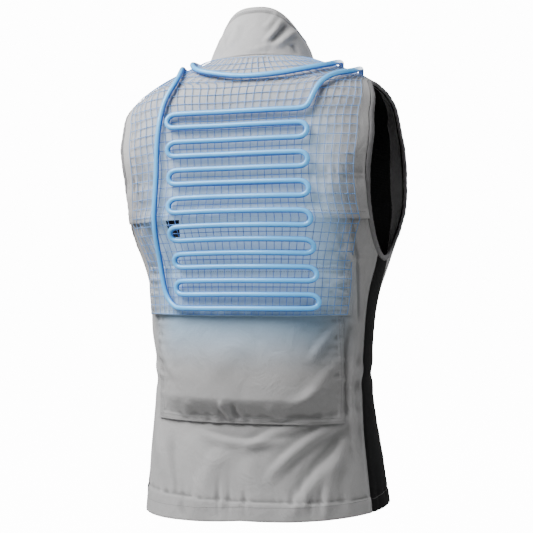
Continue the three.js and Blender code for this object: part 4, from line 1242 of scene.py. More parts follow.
def cooling_net():
    rows = np.concatenate([np.linspace(-1, 0, 90)[:-1], np.linspace(0, 0.97, 170)])
    middle = net_skin(0.5 + 0 * rows, rows, 0)
    height = lengths(middle, 0)
    columns = np.linspace(EDGE_COLUMN, 1 - EDGE_COLUMN, 120)
    wide = lengths(net_skin(columns, 0.2 + 0 * columns, 0), 0)
    lines = []
    for stop in np.linspace(0, wide[-1], round(wide[-1] / NET_CELL_WIDE) + 1):
        s = np.interp(stop, wide, columns) + 0 * rows
        lines.append(net_skin(s, rows, NET / 2 - DOWN_THREAD_SUNK))
    for stop in np.linspace(0, height[-1], round(height[-1] / NET_CELL_HIGH) + 1):
        r = np.interp(stop, height, rows) + 0 * columns
        lines.append(net_skin(columns, r, NET / 2 - ACROSS_THREAD_SUNK))
    points, faces, uv, start = [], [], [], 0
    for line in lines:
        rings = thread_rings(line, NET_THREAD)
        index, made = ringed(rings, False)
        points.append(rings.reshape(-1, 3))
        faces.append(outward(rings.reshape(-1, 3), made) + start)
        way = lengths(line, 0)
        uv.append(np.stack([np.repeat(way, 4), np.tile([0, 0.25, 0.5, 0.75], len(way))], -1))
        start += index.size
    points, faces, uv = (np.concatenate(part) for part in (points, faces, uv))
    piece = add_piece("cooling_net_threads", points, faces, uv)
    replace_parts(piece, "cooling_net")


# The tube: its leads over the shoulders and its rows on the net
def curve_through(points, count):
    first, last = 2 * points[0] - points[1], 2 * points[-1] - points[-2]
    padded = np.concatenate([[first], points, [last]])
    gaps = np.linalg.norm(np.diff(padded, axis=0), axis=-1) ** 0.5
    pieces = []
    for i in range(1, len(padded) - 2):
        a, b, c, d = padded[i - 1:i + 3]
        before, here, after = gaps[i - 1:i + 2]
        leave = ((b - a) / before - (c - a) / (before + here) + (c - b) / here) * here
        reach = ((c - b) / here - (d - b) / (here + after) + (d - c) / after) * here
        t = np.linspace(0, 1, count, endpoint=False)[:, None]
        pieces.append(
            b + leave * t + (-3 * b + 3 * c - 2 * leave - reach) * t ** 2
            + (2 * b - 2 * c + leave + reach) * t ** 3)
    return np.concatenate([*pieces, [points[-1]]])


# Where the search for a place of the route starts, and how far before the shoulder's seam, in turn,
# the tube begins to lie on the net and lies on it in full
NEAR_TURN = {"front": -0.9, "top": 0.2, "back": 1.1}
NET_BEGINS, NET_FULL = 0.9, 0.4
# Points along each row and each bend, and rounds that make the leads even
ROW_POINTS, BEND_POINTS = 25, 11
LEAD_ROUNDS = 30


def route_spot(place):
    on, a, b = place
    side = 1 if a > 0 else -1
    near = NEAR_TURN[on]
    other, level = (1, 1.5) if on == "top" else (2, 1)
    turn, level = find_spot(0, other, np.float64(side * a), np.float64(b), near, level)
    spot = (turn, level) if side > 0 else mirrored((turn, level))
    return [float(spot[0]), float(spot[1])]


def tube_point(turn, level):
    fold = np.minimum(turn, 2 * QUARTER - turn)
    behind = ease(SHOULDER_TURN - NET_BEGINS, SHOULDER_TURN - NET_FULL, fold)
    at = body_point(turn, level)
    under = mix(CLOTH + LAYER_GAP, net_offset(at) + NET, behind)
    lift = mix(folds(at), cover(at), behind)
    return off_body(turn, level, under + LAYER_GAP + TUBE_RADIUS + lift)


def evenly(line, step):
    way = lengths(line, 0)
    stops = np.linspace(0, way[-1], max(2, round(way[-1] / step) + 1))
    return along_line(stops, way, line)


def row_line():
    bend = ROW_PITCH / 2
    places = []
    for i in range(ROWS):
        share = i / (ROWS - 1)
        left, right = mix(*ROW_LEFT, share) - bend, -mix(*ROW_RIGHT, share) + bend
        drop = FIRST_ROW + ROW_PITCH * i
        start, end = (right, left) if i % 2 == 0 else (left, right)
        places += [(mix(start, end, part), -drop) for part in np.linspace(0, 1, ROW_POINTS)]
        way = 1 if i % 2 == 0 else -1
        if i + 1 < ROWS:
            for part in np.linspace(0, 1, BEND_POINTS)[1:-1]:
                angle = math.pi * part
                down = drop + bend * (1 - math.cos(angle))
                places.append((end + way * bend * math.sin(angle), -down))
    x, z = np.array(places).T
    turn = turn_of_x(x, z)
    return tube_point(turn, level_of_z(turn, z))


def smooth_route(route):
    spots = curve_through(np.array([route_spot(place) for place in route]), 20)
    return tube_point(spots[:, 0], spots[:, 1])


def softened(line, rounds):
    for _ in range(rounds):
        line[1:-1] = (line[:-2] + 2 * line[1:-1] + line[2:]) / 4
    return line


# The coupling stands on the right front; the two ends of the tube stand in its ports
COUPLING_DROP = 206
COUPLING_SIZE = (46, 14, 26)
PORT_SPACING = 24
PORT_STRAIGHT = 12
coupling_box = np.array(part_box("tube_coupling")) * 1000
COUPLING_MIDDLE = coupling_box.mean(0)


def coupling_turn():
    turn, level = find_spot(0, 2, np.float64(-96), np.float64(-COUPLING_DROP), 2.5 * QUARTER, 0.8)
    normal = body_normal(turn, level)
    return math.atan2(normal[1], normal[0])


COUPLING_ANGLE = coupling_turn()


def port_point(side, up):
    along = np.array([-math.sin(COUPLING_ANGLE), math.cos(COUPLING_ANGLE), 0])
    at = COUPLING_MIDDLE + along * side * PORT_SPACING / 2
    at[2] = -COUPLING_DROP + COUPLING_SIZE[2] + up
    return at


TUBE_SIDES = 14
# Between which values painted shade darkens the tube's colour, round to the cloth and down to its
# underside
SHADE_INWARD = (0.14, 0.42)
SHADE_DOWNWARD = (0.4, 0.95)


def cooling_tube():
    ends = [np.array([port_point(side, 0.3), port_point(side, PORT_STRAIGHT)]) for side in (-1, 1)]
    route = np.concatenate([
        evenly(ends[0], 4), softened(evenly(smooth_route(LEAD_ROUTE), 4), LEAD_ROUNDS), row_line(),
        softened(evenly(smooth_route(RETURN_ROUTE), 4), LEAD_ROUNDS), evenly(ends[1][::-1], 4)])
    line = softened(evenly(route, 3.5), 3)
    along = unit(np.gradient(line, axis=0))
    across = np.array([1.0, 0, 0])
    rings = []
    angles = np.linspace(0, 2 * math.pi, TUBE_SIDES, endpoint=False)[:, None]
    for middle, way in zip(line, along):
        across = unit(across - way * (across * way).sum())
        other = np.cross(way, across)
        rings.append(middle + TUBE_RADIUS * (across * np.cos(angles) + other * np.sin(angles)))
    rings = np.stack(rings)
    _, faces = ringed(rings, False)
    way = lengths(line, 0)
    core = np.stack([0.6 * line[:, 0], 0 * way, np.minimum(line[:, 2], -100)], -1)
    out = unit(line - core)
    out = unit(out - along * (out * along).sum(-1, keepdims=True))
    facing = ((rings - line[:, None]) / TUBE_RADIUS * out[:, None]).sum(-1)
    uv = np.stack([np.repeat(way, TUBE_SIDES) / 1000, (0.5 - 0.5 * facing).ravel()], -1)
    points = rings.reshape(-1, 3)
    piece = add_piece("cooling_tube_hose", points, outward(points, faces), uv)
    # Painted shade: the tube darkens round to the cloth and on its underside
    downward = -((rings - line[:, None]) / TUBE_RADIUS)[..., 2]
    shade = np.maximum(ease(*SHADE_INWARD, 0.5 - 0.5 * facing), ease(*SHADE_DOWNWARD, downward))
    piece.data.attributes.new("shade", "FLOAT", "POINT").data.foreach_set("value", shade.ravel())
    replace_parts(piece, "cooling_tube")
    return way[-1]


# Hard pieces, made from primitives at their place and shaped in edit mode
def finish_hard(piece, name, bevel, segments=3):
    piece.name = name
    bpy.ops.object.transform_apply(location=True, rotation=True, scale=True)
    edge = piece.modifiers.new("edge", "BEVEL")
    edge.width = bevel / 1000
    edge.segments = segments
    edge.limit_method = "ANGLE"
    bpy.ops.object.modifier_apply(modifier="edge")
    bpy.ops.object.shade_smooth_by_angle(angle=math.radians(40))
    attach(piece, "root")
    piece.select_set(False)
    return piece


# Gives a new primitive its size
def sized(piece, scale):
    piece.scale = scale
    bpy.ops.object.transform_apply(location=False, rotation=False, scale=True)


# Goes into edit mode with only those faces of a piece selected that pass a test
def edit_faces(piece, wanted):
    bpy.ops.object.mode_set(mode="EDIT")
    bpy.ops.mesh.select_all(action="DESELECT")
    bpy.ops.object.mode_set(mode="OBJECT")
    for face in piece.data.polygons:
        face.select = wanted(face)
    bpy.ops.object.mode_set(mode="EDIT")
    bpy.ops.mesh.select_mode(type="FACE")


BLOCK_FRAME, BLOCK_LIP = 0.004, 0.0012
PORT_COLLAR_RADIUS, PORT_COLLAR_HIGH, PORT_COLLAR_UP = 0.0063, 0.006, 3.2


def coupling():
    bpy.ops.object.select_all(action="DESELECT")
    wide, deep, high = (size / 1000 for size in COUPLING_SIZE)
    turn = COUPLING_ANGLE + QUARTER
    bpy.ops.mesh.primitive_cube_add(size=1, location=tuple(COUPLING_MIDDLE / 1000), rotation=(0, 0, turn))
    block = bpy.context.object
    sized(block, (wide, deep, high))
    edit_faces(block, lambda face: abs(face.normal.y) > 0.9 and face.center.y < 0)
    bpy.ops.mesh.inset(thickness=BLOCK_FRAME, depth=0)
    bpy.ops.mesh.inset(thickness=BLOCK_LIP, depth=-BLOCK_LIP)
    bpy.ops.object.mode_set(mode="OBJECT")
    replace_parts(finish_hard(block, "tube_coupling_block", 1.2), "tube_coupling")
    for side in (-1, 1):
        place = tuple(port_point(side, PORT_COLLAR_UP) / 1000)
        bpy.ops.mesh.primitive_cylinder_add(
            vertices=28, radius=PORT_COLLAR_RADIUS, depth=PORT_COLLAR_HIGH, location=place)
        collar = bpy.context.object
        bpy.ops.object.mode_set(mode="EDIT")
        bpy.ops.mesh.select_all(action="SELECT")
        bpy.ops.mesh.bisect(plane_co=place, plane_no=(0, 0, 1))
        bpy.ops.object.mode_set(mode="OBJECT")
        edit_faces(collar, lambda face: abs(face.normal.z) < 0.5)
        bpy.ops.mesh.inset(thickness=0.0006, depth=0.0005, use_individual=True)
        bpy.ops.object.mode_set(mode="OBJECT")
        name = "port_collar_left" if side > 0 else "port_collar_right"
        finish_hard(collar, name, 0.4, 2)


# The zip: its tape, two rows of teeth, and a slider at the top of the collar
def zip_skin(s, r, out):
    x = ZIP_WIDTH / 2 * (1 - 2 * s)
    past = np.clip((r - ZIP_NECK_SHARE) / (1 - ZIP_NECK_SHARE), 0, 1)
    turn = -QUARTER + np.arcsin(x / NECK_HALF_WIDTH)
    above = collar_point(turn, past, out - CLOTH / 2)
    front = beside_front(np.abs(x), np.minimum(2 * r / ZIP_NECK_SHARE, 2))
    below = off_body(*front, out + folds(body_point(*front)))
    below[..., 0] = x
    return np.where((r > ZIP_NECK_SHARE)[..., None], above, below)


SKINS["zip"] = zip_skin
ZIP_TAPE = 1.2
TOOTH_PITCH = 3.2
# The teeth as sections: place along the tooth, its height and its half width
TOOTH = ((-0.6, 0.7, 0.5), (0.2, 1.3, 0.72), (2.6, 1.2, 0.6), (3.2, 0.5, 0.45))
SLIDER_SIZE = (0.009, 0.0035, 0.011)
PULL_RADIUS, PULL_WIRE = 0.0042, 0.0008


def front_zip():
    cloth_piece(
        "front_zip_tape", ["front_zip"], zip_skin, ZIP_TAPE,
        shares(10), shares(260, ZIP_NECK_SHARE))
    run = np.linspace(0.004, 0.985, 600)
    line, above = (zip_skin(0.5 + 0 * run, run, ZIP_TAPE + lift + 0 * run) for lift in (0.1, 1.1))
    way = lengths(line, 0)
    stops = np.arange(TOOTH_PITCH, way[-1] - TOOTH_PITCH, TOOTH_PITCH / 2)
    at = along_line(stops, way, line)
    up = unit(along_line(stops, way, above - line))
    along = unit(np.gradient(at, axis=0))
    across = np.cross(along, up)
    side = np.where(np.arange(len(at)) % 2 == 0, 1, -1)[:, None]
    rings = []
    for place, tall, broad in TOOTH:
        middle = at + across * side * place
        corners = [(along, broad), (up, tall), (-along, broad), (-up, 0.15)]
        rings.append(np.stack([middle + way_out * size for way_out, size in corners], 1))
    rings = np.stack(rings, 1)
    one, faces = ringed(rings[0], False)
    points, made = rings.reshape(-1, 3), []
    for k in range(len(at)):
        made.append(outward(rings[k].reshape(-1, 3), faces) + k * one.size)
    piece = add_piece("front_zip_teeth", points, np.concatenate(made), 0 * points[:, :2])
    top, tip = line[-12] / 1000, up[-8]
    tilt = math.atan2(along[-8][1], along[-8][2])
    bpy.ops.mesh.primitive_cube_add(size=1, location=tuple(top + tip * 0.0012), rotation=(-tilt, 0, 0))
    slider = bpy.context.object
    sized(slider, SLIDER_SIZE)
    bpy.ops.object.mode_set(mode="EDIT")
    bpy.ops.mesh.select_all(action="SELECT")
    bpy.ops.mesh.subdivide(number_cuts=2, smoothness=0.4)
    bpy.ops.object.mode_set(mode="OBJECT")
    finish_hard(slider, "front_zip_slider", 0.5, 2)
    bpy.ops.mesh.primitive_torus_add(
        major_radius=PULL_RADIUS, minor_radius=PULL_WIRE, major_segments=24, minor_segments=8,
        location=tuple(top + tip * 0.0042 - np.array([0, 0, 0.006])), rotation=(QUARTER - tilt, 0, 0))
    pull = bpy.context.object
    sized(pull, (0.7, 1.5, 1))
    finish_hard(pull, "front_zip_pull", 0.05, 1)


# Node groups that more than one finish uses
def new_group(name, inputs, outputs):
    group = bpy.data.node_groups.new(name, "ShaderNodeTree")
    for label, kind, value in inputs:
        socket = group.interface.new_socket(label, in_out="INPUT", socket_type=kind)
        if value is not None:
            socket.default_value = value
    for label, kind in outputs:
        group.interface.new_socket(label, in_out="OUTPUT", socket_type=kind)
    nodes = group.nodes
    return group, nodes.new("NodeGroupInput"), nodes.new("NodeGroupOutput")


def math_node(tree, operation, a, b=None, c=None):
    node = tree.nodes.new("ShaderNodeMath")
    node.operation = operation
    for socket, value in zip(node.inputs, (a, b, c)):
        if value is None:
            continue
        if isinstance(value, (int, float)):
            socket.default_value = value
        else:
            tree.links.new(value, socket)
    return node.outputs[0]


def mix_colour(tree, share, a, b):
    node = tree.nodes.new("ShaderNodeMix")
    node.data_type = "RGBA"
    for socket, value in ((node.inputs[0], share), (node.inputs[6], a), (node.inputs[7], b)):
        if isinstance(value, (int, float, tuple)):
            socket.default_value = value
        else:
            tree.links.new(value, socket)
    return node.outputs[2]


# A plain weave: threads over and under each other, from coordinates in metres
def weave_group():
    group, given, result = new_group(
        "weave", [("Place", "NodeSocketVector", None), ("Threads", "NodeSocketFloat", 1200.0)],
        [("Height", "NodeSocketFloat"), ("Gap", "NodeSocketFloat")])
    scale = group.nodes.new("ShaderNodeVectorMath")
    scale.operation = "SCALE"
    group.links.new(given.outputs["Place"], scale.inputs[0])
    group.links.new(given.outputs["Threads"], scale.inputs["Scale"])
    split = group.nodes.new("ShaderNodeSeparateXYZ")
    group.links.new(scale.outputs[0], split.inputs[0])
    waves, cells = [], []
    for axis in (0, 1):
        turn = math_node(group, "MULTIPLY", split.outputs[axis], math.pi)
        waves.append(math_node(group, "ABSOLUTE", math_node(group, "SINE", turn)))
        cells.append(math_node(group, "FLOOR", split.outputs[axis]))
    odd = math_node(group, "PINGPONG", math_node(group, "ADD", *cells), 1)
    under = math_node(group, "MULTIPLY", math_node(group, "SUBTRACT", 1, odd), waves[0])
    height = math_node(group, "MULTIPLY_ADD", odd, waves[1], under)
    low = math_node(group, "MINIMUM", *waves)
    group.links.new(height, result.inputs["Height"])
    gap = math_node(group, "SUBTRACT", 1, math_node(group, "MULTIPLY", low, 3))
    group.links.new(gap, result.inputs["Gap"])
    return group


# How much of the mottling is broad, and how many times finer the rest of it is
BROAD_SHARE = 0.65
FINER = 23


# Colour that is a little lighter and darker from place to place, as dyed and worn cloth is
def mottle_group():
    group, given, result = new_group(
        "mottle", [("Place", "NodeSocketVector", None), ("Colour", "NodeSocketColor", (1, 1, 1, 1)),
                   ("Scale", "NodeSocketFloat", 18.0), ("Amount", "NodeSocketFloat", 0.1)],
        [("Colour", "NodeSocketColor"), ("Value", "NodeSocketFloat")])
    noises = []
    for factor in (1, FINER):
        noise = group.nodes.new("ShaderNodeTexNoise")
        noise.inputs["Detail"].default_value = 4
        group.links.new(given.outputs["Place"], noise.inputs["Vector"])
        scale = math_node(group, "MULTIPLY", given.outputs["Scale"], factor)
        group.links.new(scale, noise.inputs["Scale"])
        noises.append(noise.outputs["Fac"])
    fine = math_node(group, "MULTIPLY", noises[1], 1 - BROAD_SHARE)
    value = math_node(group, "MULTIPLY_ADD", noises[0], BROAD_SHARE, fine)
    around = math_node(group, "SUBTRACT", value, 0.5)
    swing = math_node(group, "MULTIPLY", around, given.outputs["Amount"])
    shade = group.nodes.new("ShaderNodeVectorMath")
    shade.operation = "SCALE"
    group.links.new(given.outputs["Colour"], shade.inputs[0])
    group.links.new(math_node(group, "MULTIPLY_ADD", swing, 4, 1), shade.inputs["Scale"])
    group.links.new(shade.outputs[0], result.inputs["Colour"])
    group.links.new(value, result.inputs["Value"])
    return group


# Knitted ribs with a short bow between their rows
def rib_group():
    group, given, result = new_group(
        "ribs", [("Place", "NodeSocketVector", None), ("Across", "NodeSocketFloat", 900.0),
                 ("Along", "NodeSocketFloat", 700.0)], [("Height", "NodeSocketFloat")])
    split = group.nodes.new("ShaderNodeSeparateXYZ")
    group.links.new(given.outputs["Place"], split.inputs[0])
    heights = []
    for axis, count in ((0, "Across"), (1, "Along")):
        rows = math_node(group, "MULTIPLY", split.outputs[axis], given.outputs[count])
        wave = math_node(group, "SINE", math_node(group, "MULTIPLY", rows, math.pi))
        heights.append(math_node(group, "ABSOLUTE", wave))
    both = math_node(group, "MULTIPLY_ADD", heights[1], 0.4, heights[0])
    group.links.new(both, result.inputs["Height"])
    return group


# A mesh with round holes on a regular grid
def holes_group():
    group, given, result = new_group(
        "mesh_holes", [("Place", "NodeSocketVector", None), ("Scale", "NodeSocketFloat", 420.0)],
        [("Height", "NodeSocketFloat"), ("Hole", "NodeSocketFloat")])
    cells = group.nodes.new("ShaderNodeTexVoronoi")
    cells.inputs["Randomness"].default_value = 0.08
    group.links.new(given.outputs["Place"], cells.inputs["Vector"])
    group.links.new(given.outputs["Scale"], cells.inputs["Scale"])
    hole = math_node(group, "LESS_THAN", cells.outputs["Distance"], 0.3)
    group.links.new(math_node(group, "MULTIPLY", cells.outputs["Distance"], 1.5), result.inputs["Height"])
    group.links.new(hole, result.inputs["Hole"])
    return group


WEAVE, MOTTLE, RIBS, HOLES = weave_group(), mottle_group(), rib_group(), holes_group()


def start_material(name, roughness, sheen=0.0, specular=0.4):
    material = bpy.data.materials.new(name)
    material.use_nodes = True
    shader = material.node_tree.nodes["Principled BSDF"]
    shader.inputs["Roughness"].default_value = roughness
    shader.inputs["Sheen Weight"].default_value = sheen
    shader.inputs["Specular IOR Level"].default_value = specular
    return material, material.node_tree, shader


def place_of(tree, kind):
    node = tree.nodes.new("ShaderNodeUVMap" if kind == "UV" else "ShaderNodeTexCoord")
    if kind == "UV":
        node.uv_map = "cloth"
        return node.outputs["UV"]
    return node.outputs["Object"]


def use(tree, group, **values):
    node = tree.nodes.new("ShaderNodeGroup")
    node.node_tree = group
    for label, value in values.items():
        if isinstance(value, (int, float, tuple)):
            node.inputs[label].default_value = value
        else:
            tree.links.new(value, node.inputs[label])
    return node


def add_bump(tree, target, height, strength, distance):
    node = tree.nodes.new("ShaderNodeBump")
    node.inputs["Strength"].default_value = strength
    node.inputs["Distance"].default_value = distance
    tree.links.new(height, node.inputs["Height"])
    tree.links.new(node.outputs["Normal"], target.inputs["Normal"])
    return node


# Small soft creases, as worn cloth has
def crinkles(tree, place, scale):
    noise = tree.nodes.new("ShaderNodeTexNoise")
    noise.inputs["Scale"].default_value = scale
    noise.inputs["Detail"].default_value = 3
    noise.inputs["Distortion"].default_value = 0.9
    tree.links.new(place, noise.inputs["Vector"])
    return noise.outputs["Fac"]


# Rises smoothly from 0 to 1 between two values, and a window that is 1 between two values
def ramp(tree, value, start, end):
    node = tree.nodes.new("ShaderNodeMapRange")
    node.interpolation_type = "SMOOTHSTEP"
    node.inputs["From Min"].default_value = start
    node.inputs["From Max"].default_value = end
    tree.links.new(value, node.inputs["Value"])
    return node.outputs[0]


def window(tree, value, low, high, soft):
    rise = ramp(tree, value, low - soft, low + soft)
    return math_node(tree, "MULTIPLY", rise, ramp(tree, value, high + soft, high - soft))


# The shell's own grey, a painted blue glow tint, the painted glow that the cloth emits, and its painted
# shade colour
SHELL_COLOUR = (0.58, 0.58, 0.585, 1)
SHELL_GLOW_TINT = (0.35, 0.53, 0.72, 1)
SHELL_GLOW = (0.21, 0.31, 0.41, 1)
PAINTED_SHADE_COLOUR = (0.06, 0.06, 0.065, 1)
# Where a blue glow is painted on the cloth around the cold circuit, in metres: from, to, and how softly
# it ends.
# The lower part has the larger share of the painted tint, and the emitted glow keeps to the part under
# the net.
GLOW_TINT_ACROSS = (-0.135, 0.135, 0.035)
GLOW_TINT_BEHIND = (0.03, 0.4, 0.04)
GLOW_TINT_UPPER = (-0.43, -0.07, 0.045)
GLOW_TINT_LOWER = (-0.43, -0.21, 0.05)
LOWER_SHARE = 0.65
GLOWING = (-0.37, -0.11, 0.04)
BLACK = (0, 0, 0, 1)


# Light grey woven cloth, with a painted blue glow where the cold circuit lies on it, and painted shade
# in its grooves and folds and beside the pieces that lie on it
def shell_material():
    material, tree, shader = start_material("grey_woven_shell", 0.82, 0.1)
    cloth, place = place_of(tree, "UV"), place_of(tree, "Object")
    split = tree.nodes.new("ShaderNodeSeparateXYZ")
    tree.links.new(place, split.inputs[0])
    # Painted glow: the cloth is tinted blue around the cold circuit, more in its lower part
    across = window(tree, split.outputs[0], *GLOW_TINT_ACROSS)
    upper = math_node(tree, "MULTIPLY", window(tree, split.outputs[2], *GLOW_TINT_UPPER), 1 - LOWER_SHARE)
    lower = math_node(tree, "MULTIPLY", window(tree, split.outputs[2], *GLOW_TINT_LOWER), LOWER_SHARE)
    behind = window(tree, split.outputs[1], *GLOW_TINT_BEHIND)
    up = math_node(tree, "ADD", upper, lower)
    glow_tint = math_node(tree, "MULTIPLY", math_node(tree, "MULTIPLY", across, up), behind)
    # Painted glow: the cloth under the net emits pale blue light
    under_net = math_node(tree, "MULTIPLY", across, window(tree, split.outputs[2], *GLOWING))
    glow = mix_colour(tree, math_node(tree, "MULTIPLY", under_net, behind), BLACK, SHELL_GLOW)
    tree.links.new(glow, shader.inputs["Emission Color"])
    shader.inputs["Emission Strength"].default_value = 1.0
    colour = mix_colour(tree, glow_tint, SHELL_COLOUR, SHELL_GLOW_TINT)
    mottle = use(tree, MOTTLE, Place=place, Colour=colour, Scale=16.0, Amount=0.1)
    weave = use(tree, WEAVE, Place=cloth, Threads=1150.0)
    dark = mix_colour(tree, 0.3, mottle.outputs["Colour"], BLACK)
    woven = mix_colour(tree, weave.outputs["Gap"], mottle.outputs["Colour"], dark)
    # Painted shade: the cloth is darkened in its grooves and folds and beside the pieces that lie on it
    painted_shade = tree.nodes.new("ShaderNodeAttribute")
    painted_shade.attribute_name = "painted_shade"
    deep = math_node(tree, "MULTIPLY", painted_shade.outputs["Fac"], 0.5)
    tree.links.new(mix_colour(tree, deep, woven, PAINTED_SHADE_COLOUR), shader.inputs["Base Color"])
    height = math_node(tree, "MULTIPLY_ADD", mottle.outputs["Value"], 1.6, weave.outputs["Height"])
    threads = add_bump(tree, shader, height, 0.35, 0.0003)
    add_bump(tree, threads, crinkles(tree, place, 26.0), 0.4, 0.005)
    return material


# A ribbed finish: mottled colour on the ribs and a deep one between them
def ribbed_material(name, looks, colour, deep, mottled, counts, strength, distance):
    material, tree, shader = start_material(name, *looks)
    cloth, place = place_of(tree, "UV"), place_of(tree, "Object")
    mottle = use(tree, MOTTLE, Place=place, Colour=colour, Scale=mottled[0], Amount=mottled[1])
    ribs = use(tree, RIBS, Place=cloth, Across=counts[0], Along=counts[1])
    both = mix_colour(tree, ribs.outputs["Height"], deep, mottle.outputs["Colour"])
    tree.links.new(both, shader.inputs["Base Color"])
    add_bump(tree, shader, ribs.outputs["Height"], strength, distance)
    return material


def knit_material():
    return ribbed_material(
        "black_knit", (0.95, 0.0, 0.12), (0.028, 0.028, 0.029, 1), (0.006, 0.006, 0.007, 1),
        (22.0, 0.25), (640.0, 520.0), 0.5, 0.0004)


def binding_material():
    return ribbed_material(
        "grey_ribbed_edging", (0.85, 0.15), (0.3, 0.3, 0.31, 1), (0.13, 0.13, 0.135, 1),
        (30.0, 0.15), (620.0, 250.0), 0.5, 0.0004)


def net_material():
    return ribbed_material(
        "blue_net_thread", (0.55, 0.2), (0.24, 0.48, 0.92, 1), (0.12, 0.3, 0.68, 1),
        (40.0, 0.15), (0.9, 4.0), 0.3, 0.0002)


def lining_material():
    material, tree, shader = start_material("black_mesh_lining", 0.92, 0.05, 0.2)
    cloth = place_of(tree, "UV")
    holes = use(tree, HOLES, Place=cloth, Scale=380.0)
    colour = mix_colour(tree, holes.outputs["Hole"], (0.022, 0.022, 0.024, 1), (0.006, 0.006, 0.007, 1))
    tree.links.new(colour, shader.inputs["Base Color"])
    add_bump(tree, shader, holes.outputs["Height"], 0.5, 0.0004)
    return material


def facing_material():
    material, tree, shader = start_material("dark_grey_facing", 0.85, 0.1, 0.3)
    cloth, place = place_of(tree, "UV"), place_of(tree, "Object")
    mottle = use(tree, MOTTLE, Place=place, Colour=(0.32, 0.32, 0.33, 1), Scale=20.0, Amount=0.2)
    weave = use(tree, WEAVE, Place=cloth, Threads=1000.0)
    colour = mix_colour(tree, weave.outputs["Gap"], mottle.outputs["Colour"], (0.1, 0.1, 0.105, 1))
    tree.links.new(colour, shader.inputs["Base Color"])
    add_bump(tree, shader, weave.outputs["Height"], 0.4, 0.0003)
    return material


def thread_material():
    material, tree, shader = start_material("grey_sewing_thread", 0.6, 0.2)
    place = place_of(tree, "Object")
    mottle = use(tree, MOTTLE, Place=place, Colour=(0.2, 0.2, 0.21, 1), Scale=60.0, Amount=0.15)
    tree.links.new(mottle.outputs["Colour"], shader.inputs["Base Color"])
    add_bump(tree, shader, mottle.outputs["Value"], 0.3, 0.0002)
    return material


# The tube's own blue and its painted shade colour, and its painted glow in full and in the shaded parts
TUBE_COLOUR, TUBE_PAINTED_SHADE_COLOUR = (0.14, 0.52, 0.96, 1), (0.01, 0.13, 0.52, 1)
TUBE_GLOW, TUBE_PAINTED_SHADE_GLOW = (0.1, 0.46, 1, 1), (0, 0.03, 0.16, 1)


# Smooth light blue tube, with painted shade that deepens its blue round to the cloth and below, and a
# painted blue glow
def tube_material():
    material, tree, shader = start_material("light_blue_tube", 0.3, 0.0, 0.5)
    shader.inputs["Coat Weight"].default_value = 0.3
    shader.inputs["Coat Roughness"].default_value = 0.15
    shader.inputs["Emission Strength"].default_value = 0.45
    shade = tree.nodes.new("ShaderNodeAttribute")
    shade.attribute_name = "shade"
    place = place_of(tree, "Object")
    mottle = use(tree, MOTTLE, Place=place, Colour=TUBE_COLOUR, Scale=12.0, Amount=0.06)
    # Painted shade: deeper blue where the tube turns to the cloth and on its underside
    colour = mix_colour(tree, shade.outputs["Fac"], mottle.outputs["Colour"], TUBE_PAINTED_SHADE_COLOUR)
    tree.links.new(colour, shader.inputs["Base Color"])
    # Painted glow: the tube emits blue light, dimmer where it is painted with shade
    glow = mix_colour(tree, shade.outputs["Fac"], TUBE_GLOW, TUBE_PAINTED_SHADE_GLOW)
    tree.links.new(glow, shader.inputs["Emission Color"])
    add_bump(tree, shader, mottle.outputs["Value"], 0.15, 0.0003)
    return material


def plastic_material():
    material, tree, shader = start_material("dark_grey_plastic", 0.45)
    place = place_of(tree, "Object")
    mottle = use(tree, MOTTLE, Place=place, Colour=(0.022, 0.023, 0.026, 1), Scale=90.0, Amount=0.2)
    tree.links.new(mottle.outputs["Colour"], shader.inputs["Base Color"])
    add_bump(tree, shader, mottle.outputs["Value"], 0.25, 0.0003)
    return material


def dress():
    finishes = {
        "shell": shell_material(), "side": knit_material(), "lining": lining_material(),
        "facing": facing_material(), "binding": binding_material(), "plastic": plastic_material(),
        "net": net_material(), "tube": tube_material(), "thread": thread_material(),
    }
    groups = {
        "shell": ("back_yoke_cloth", "back_panel_cloth", "left_front_cloth", "right_front_cloth",
                  "collar_cloth", "back_pocket_cloth", "pocket_flap_cloth"),
        "side": ("left_side_knit", "right_side_knit"),
        "lining": ("back_lining_mesh", "left_front_lining_mesh", "right_front_lining_mesh"),
        "facing": ("left_front_facing_cloth", "right_front_facing_cloth"),
        "binding": ("left_armhole_tape", "right_armhole_tape"),
        "plastic": ("tube_coupling_block", "port_collar_left", "port_collar_right", "front_zip_tape",
                    "front_zip_teeth", "front_zip_slider", "front_zip_pull"),
        "net": ("cooling_net_threads",),
        "tube": ("cooling_tube_hose",),
        "thread": ("seam_threads",),
    }
    for finish, names in groups.items():
        for name in names:
            slots = bpy.data.objects[name].data.materials
            slots.clear()
            slots.append(finishes[finish])


# A plain pale floor and room, and soft studio light from the upper left of the view
FLOOR_Z = -0.82
ROOM_LIGHT = 0.09
ROOM_SEEN = 14.0
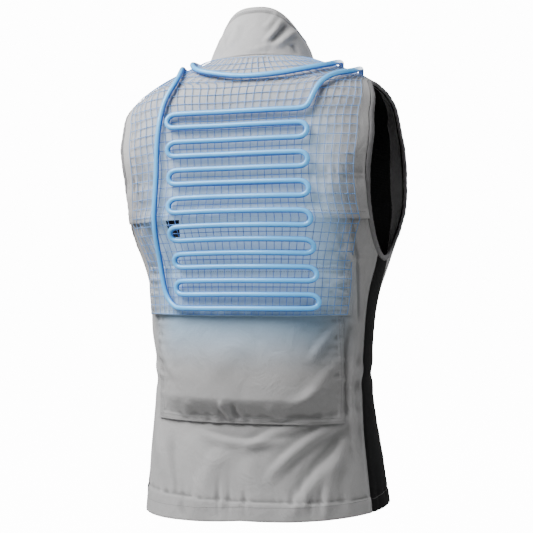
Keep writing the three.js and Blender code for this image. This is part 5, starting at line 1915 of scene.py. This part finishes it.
# Each lamp's place, what it points at, its width in metres, its power in watts and its colour
LAMPS = (
    ("key_light", (0.78, 0.84, 0.88), (0.05, 0.1, -0.1), 1.3, 58, (1, 0.99, 0.98)),
    ("front_light", (-0.9, -2.0, 0.9), (0, 0, -0.35), 1.6, 30, (1, 1, 1)),
    ("arm_light", (-1.7, 0.5, 0.1), (-0.15, 0, -0.2), 0.8, 4, (1, 1, 1)),
)


def seen_brightly(tree):
    path = tree.nodes.new("ShaderNodeLightPath")
    return path.outputs["Is Camera Ray"]


def studio():
    bpy.ops.object.select_all(action="DESELECT")
    bpy.ops.mesh.primitive_plane_add(size=30, location=(0, 0, FLOOR_Z))
    floor = bpy.context.object
    floor.name = "studio_floor"
    material, tree, shader = start_material("pale_floor", 0.9)
    shader.inputs["Base Color"].default_value = (0.3, 0.3, 0.3, 1)
    shader.inputs["Emission Color"].default_value = (1, 1, 1, 1)
    glow = math_node(tree, "MULTIPLY", seen_brightly(tree), ROOM_SEEN)
    tree.links.new(glow, shader.inputs["Emission Strength"])
    floor.data.materials.append(material)
    for name, place, goal, size, power, colour in LAMPS:
        data = bpy.data.lights.new(name, "AREA")
        data.shape = "DISK"
        data.size = size
        data.energy = power
        data.color = colour
        lamp = bpy.data.objects.new(name, data)
        lamp.location = place
        aim = np.array(goal) - np.array(place)
        rise = math.atan2(aim[2], math.hypot(aim[0], aim[1]))
        lamp.rotation_euler = (QUARTER + rise, 0, math.atan2(aim[1], aim[0]) - QUARTER)
        bpy.context.scene.collection.objects.link(lamp)
    world = bpy.data.worlds.new("pale_room")
    world.use_nodes = True
    tree = world.node_tree
    back = tree.nodes["Background"]
    back.inputs["Color"].default_value = (1, 1, 1, 1)
    strength = math_node(tree, "MULTIPLY_ADD", seen_brightly(tree), ROOM_SEEN - ROOM_LIGHT, ROOM_LIGHT)
    tree.links.new(strength, back.inputs["Strength"])
    bpy.context.scene.world = world


cooling_tube()
shell_pieces()
armhole_bindings()
cooling_net()
coupling()
front_zip()
seam_threads()
dress()
studio()
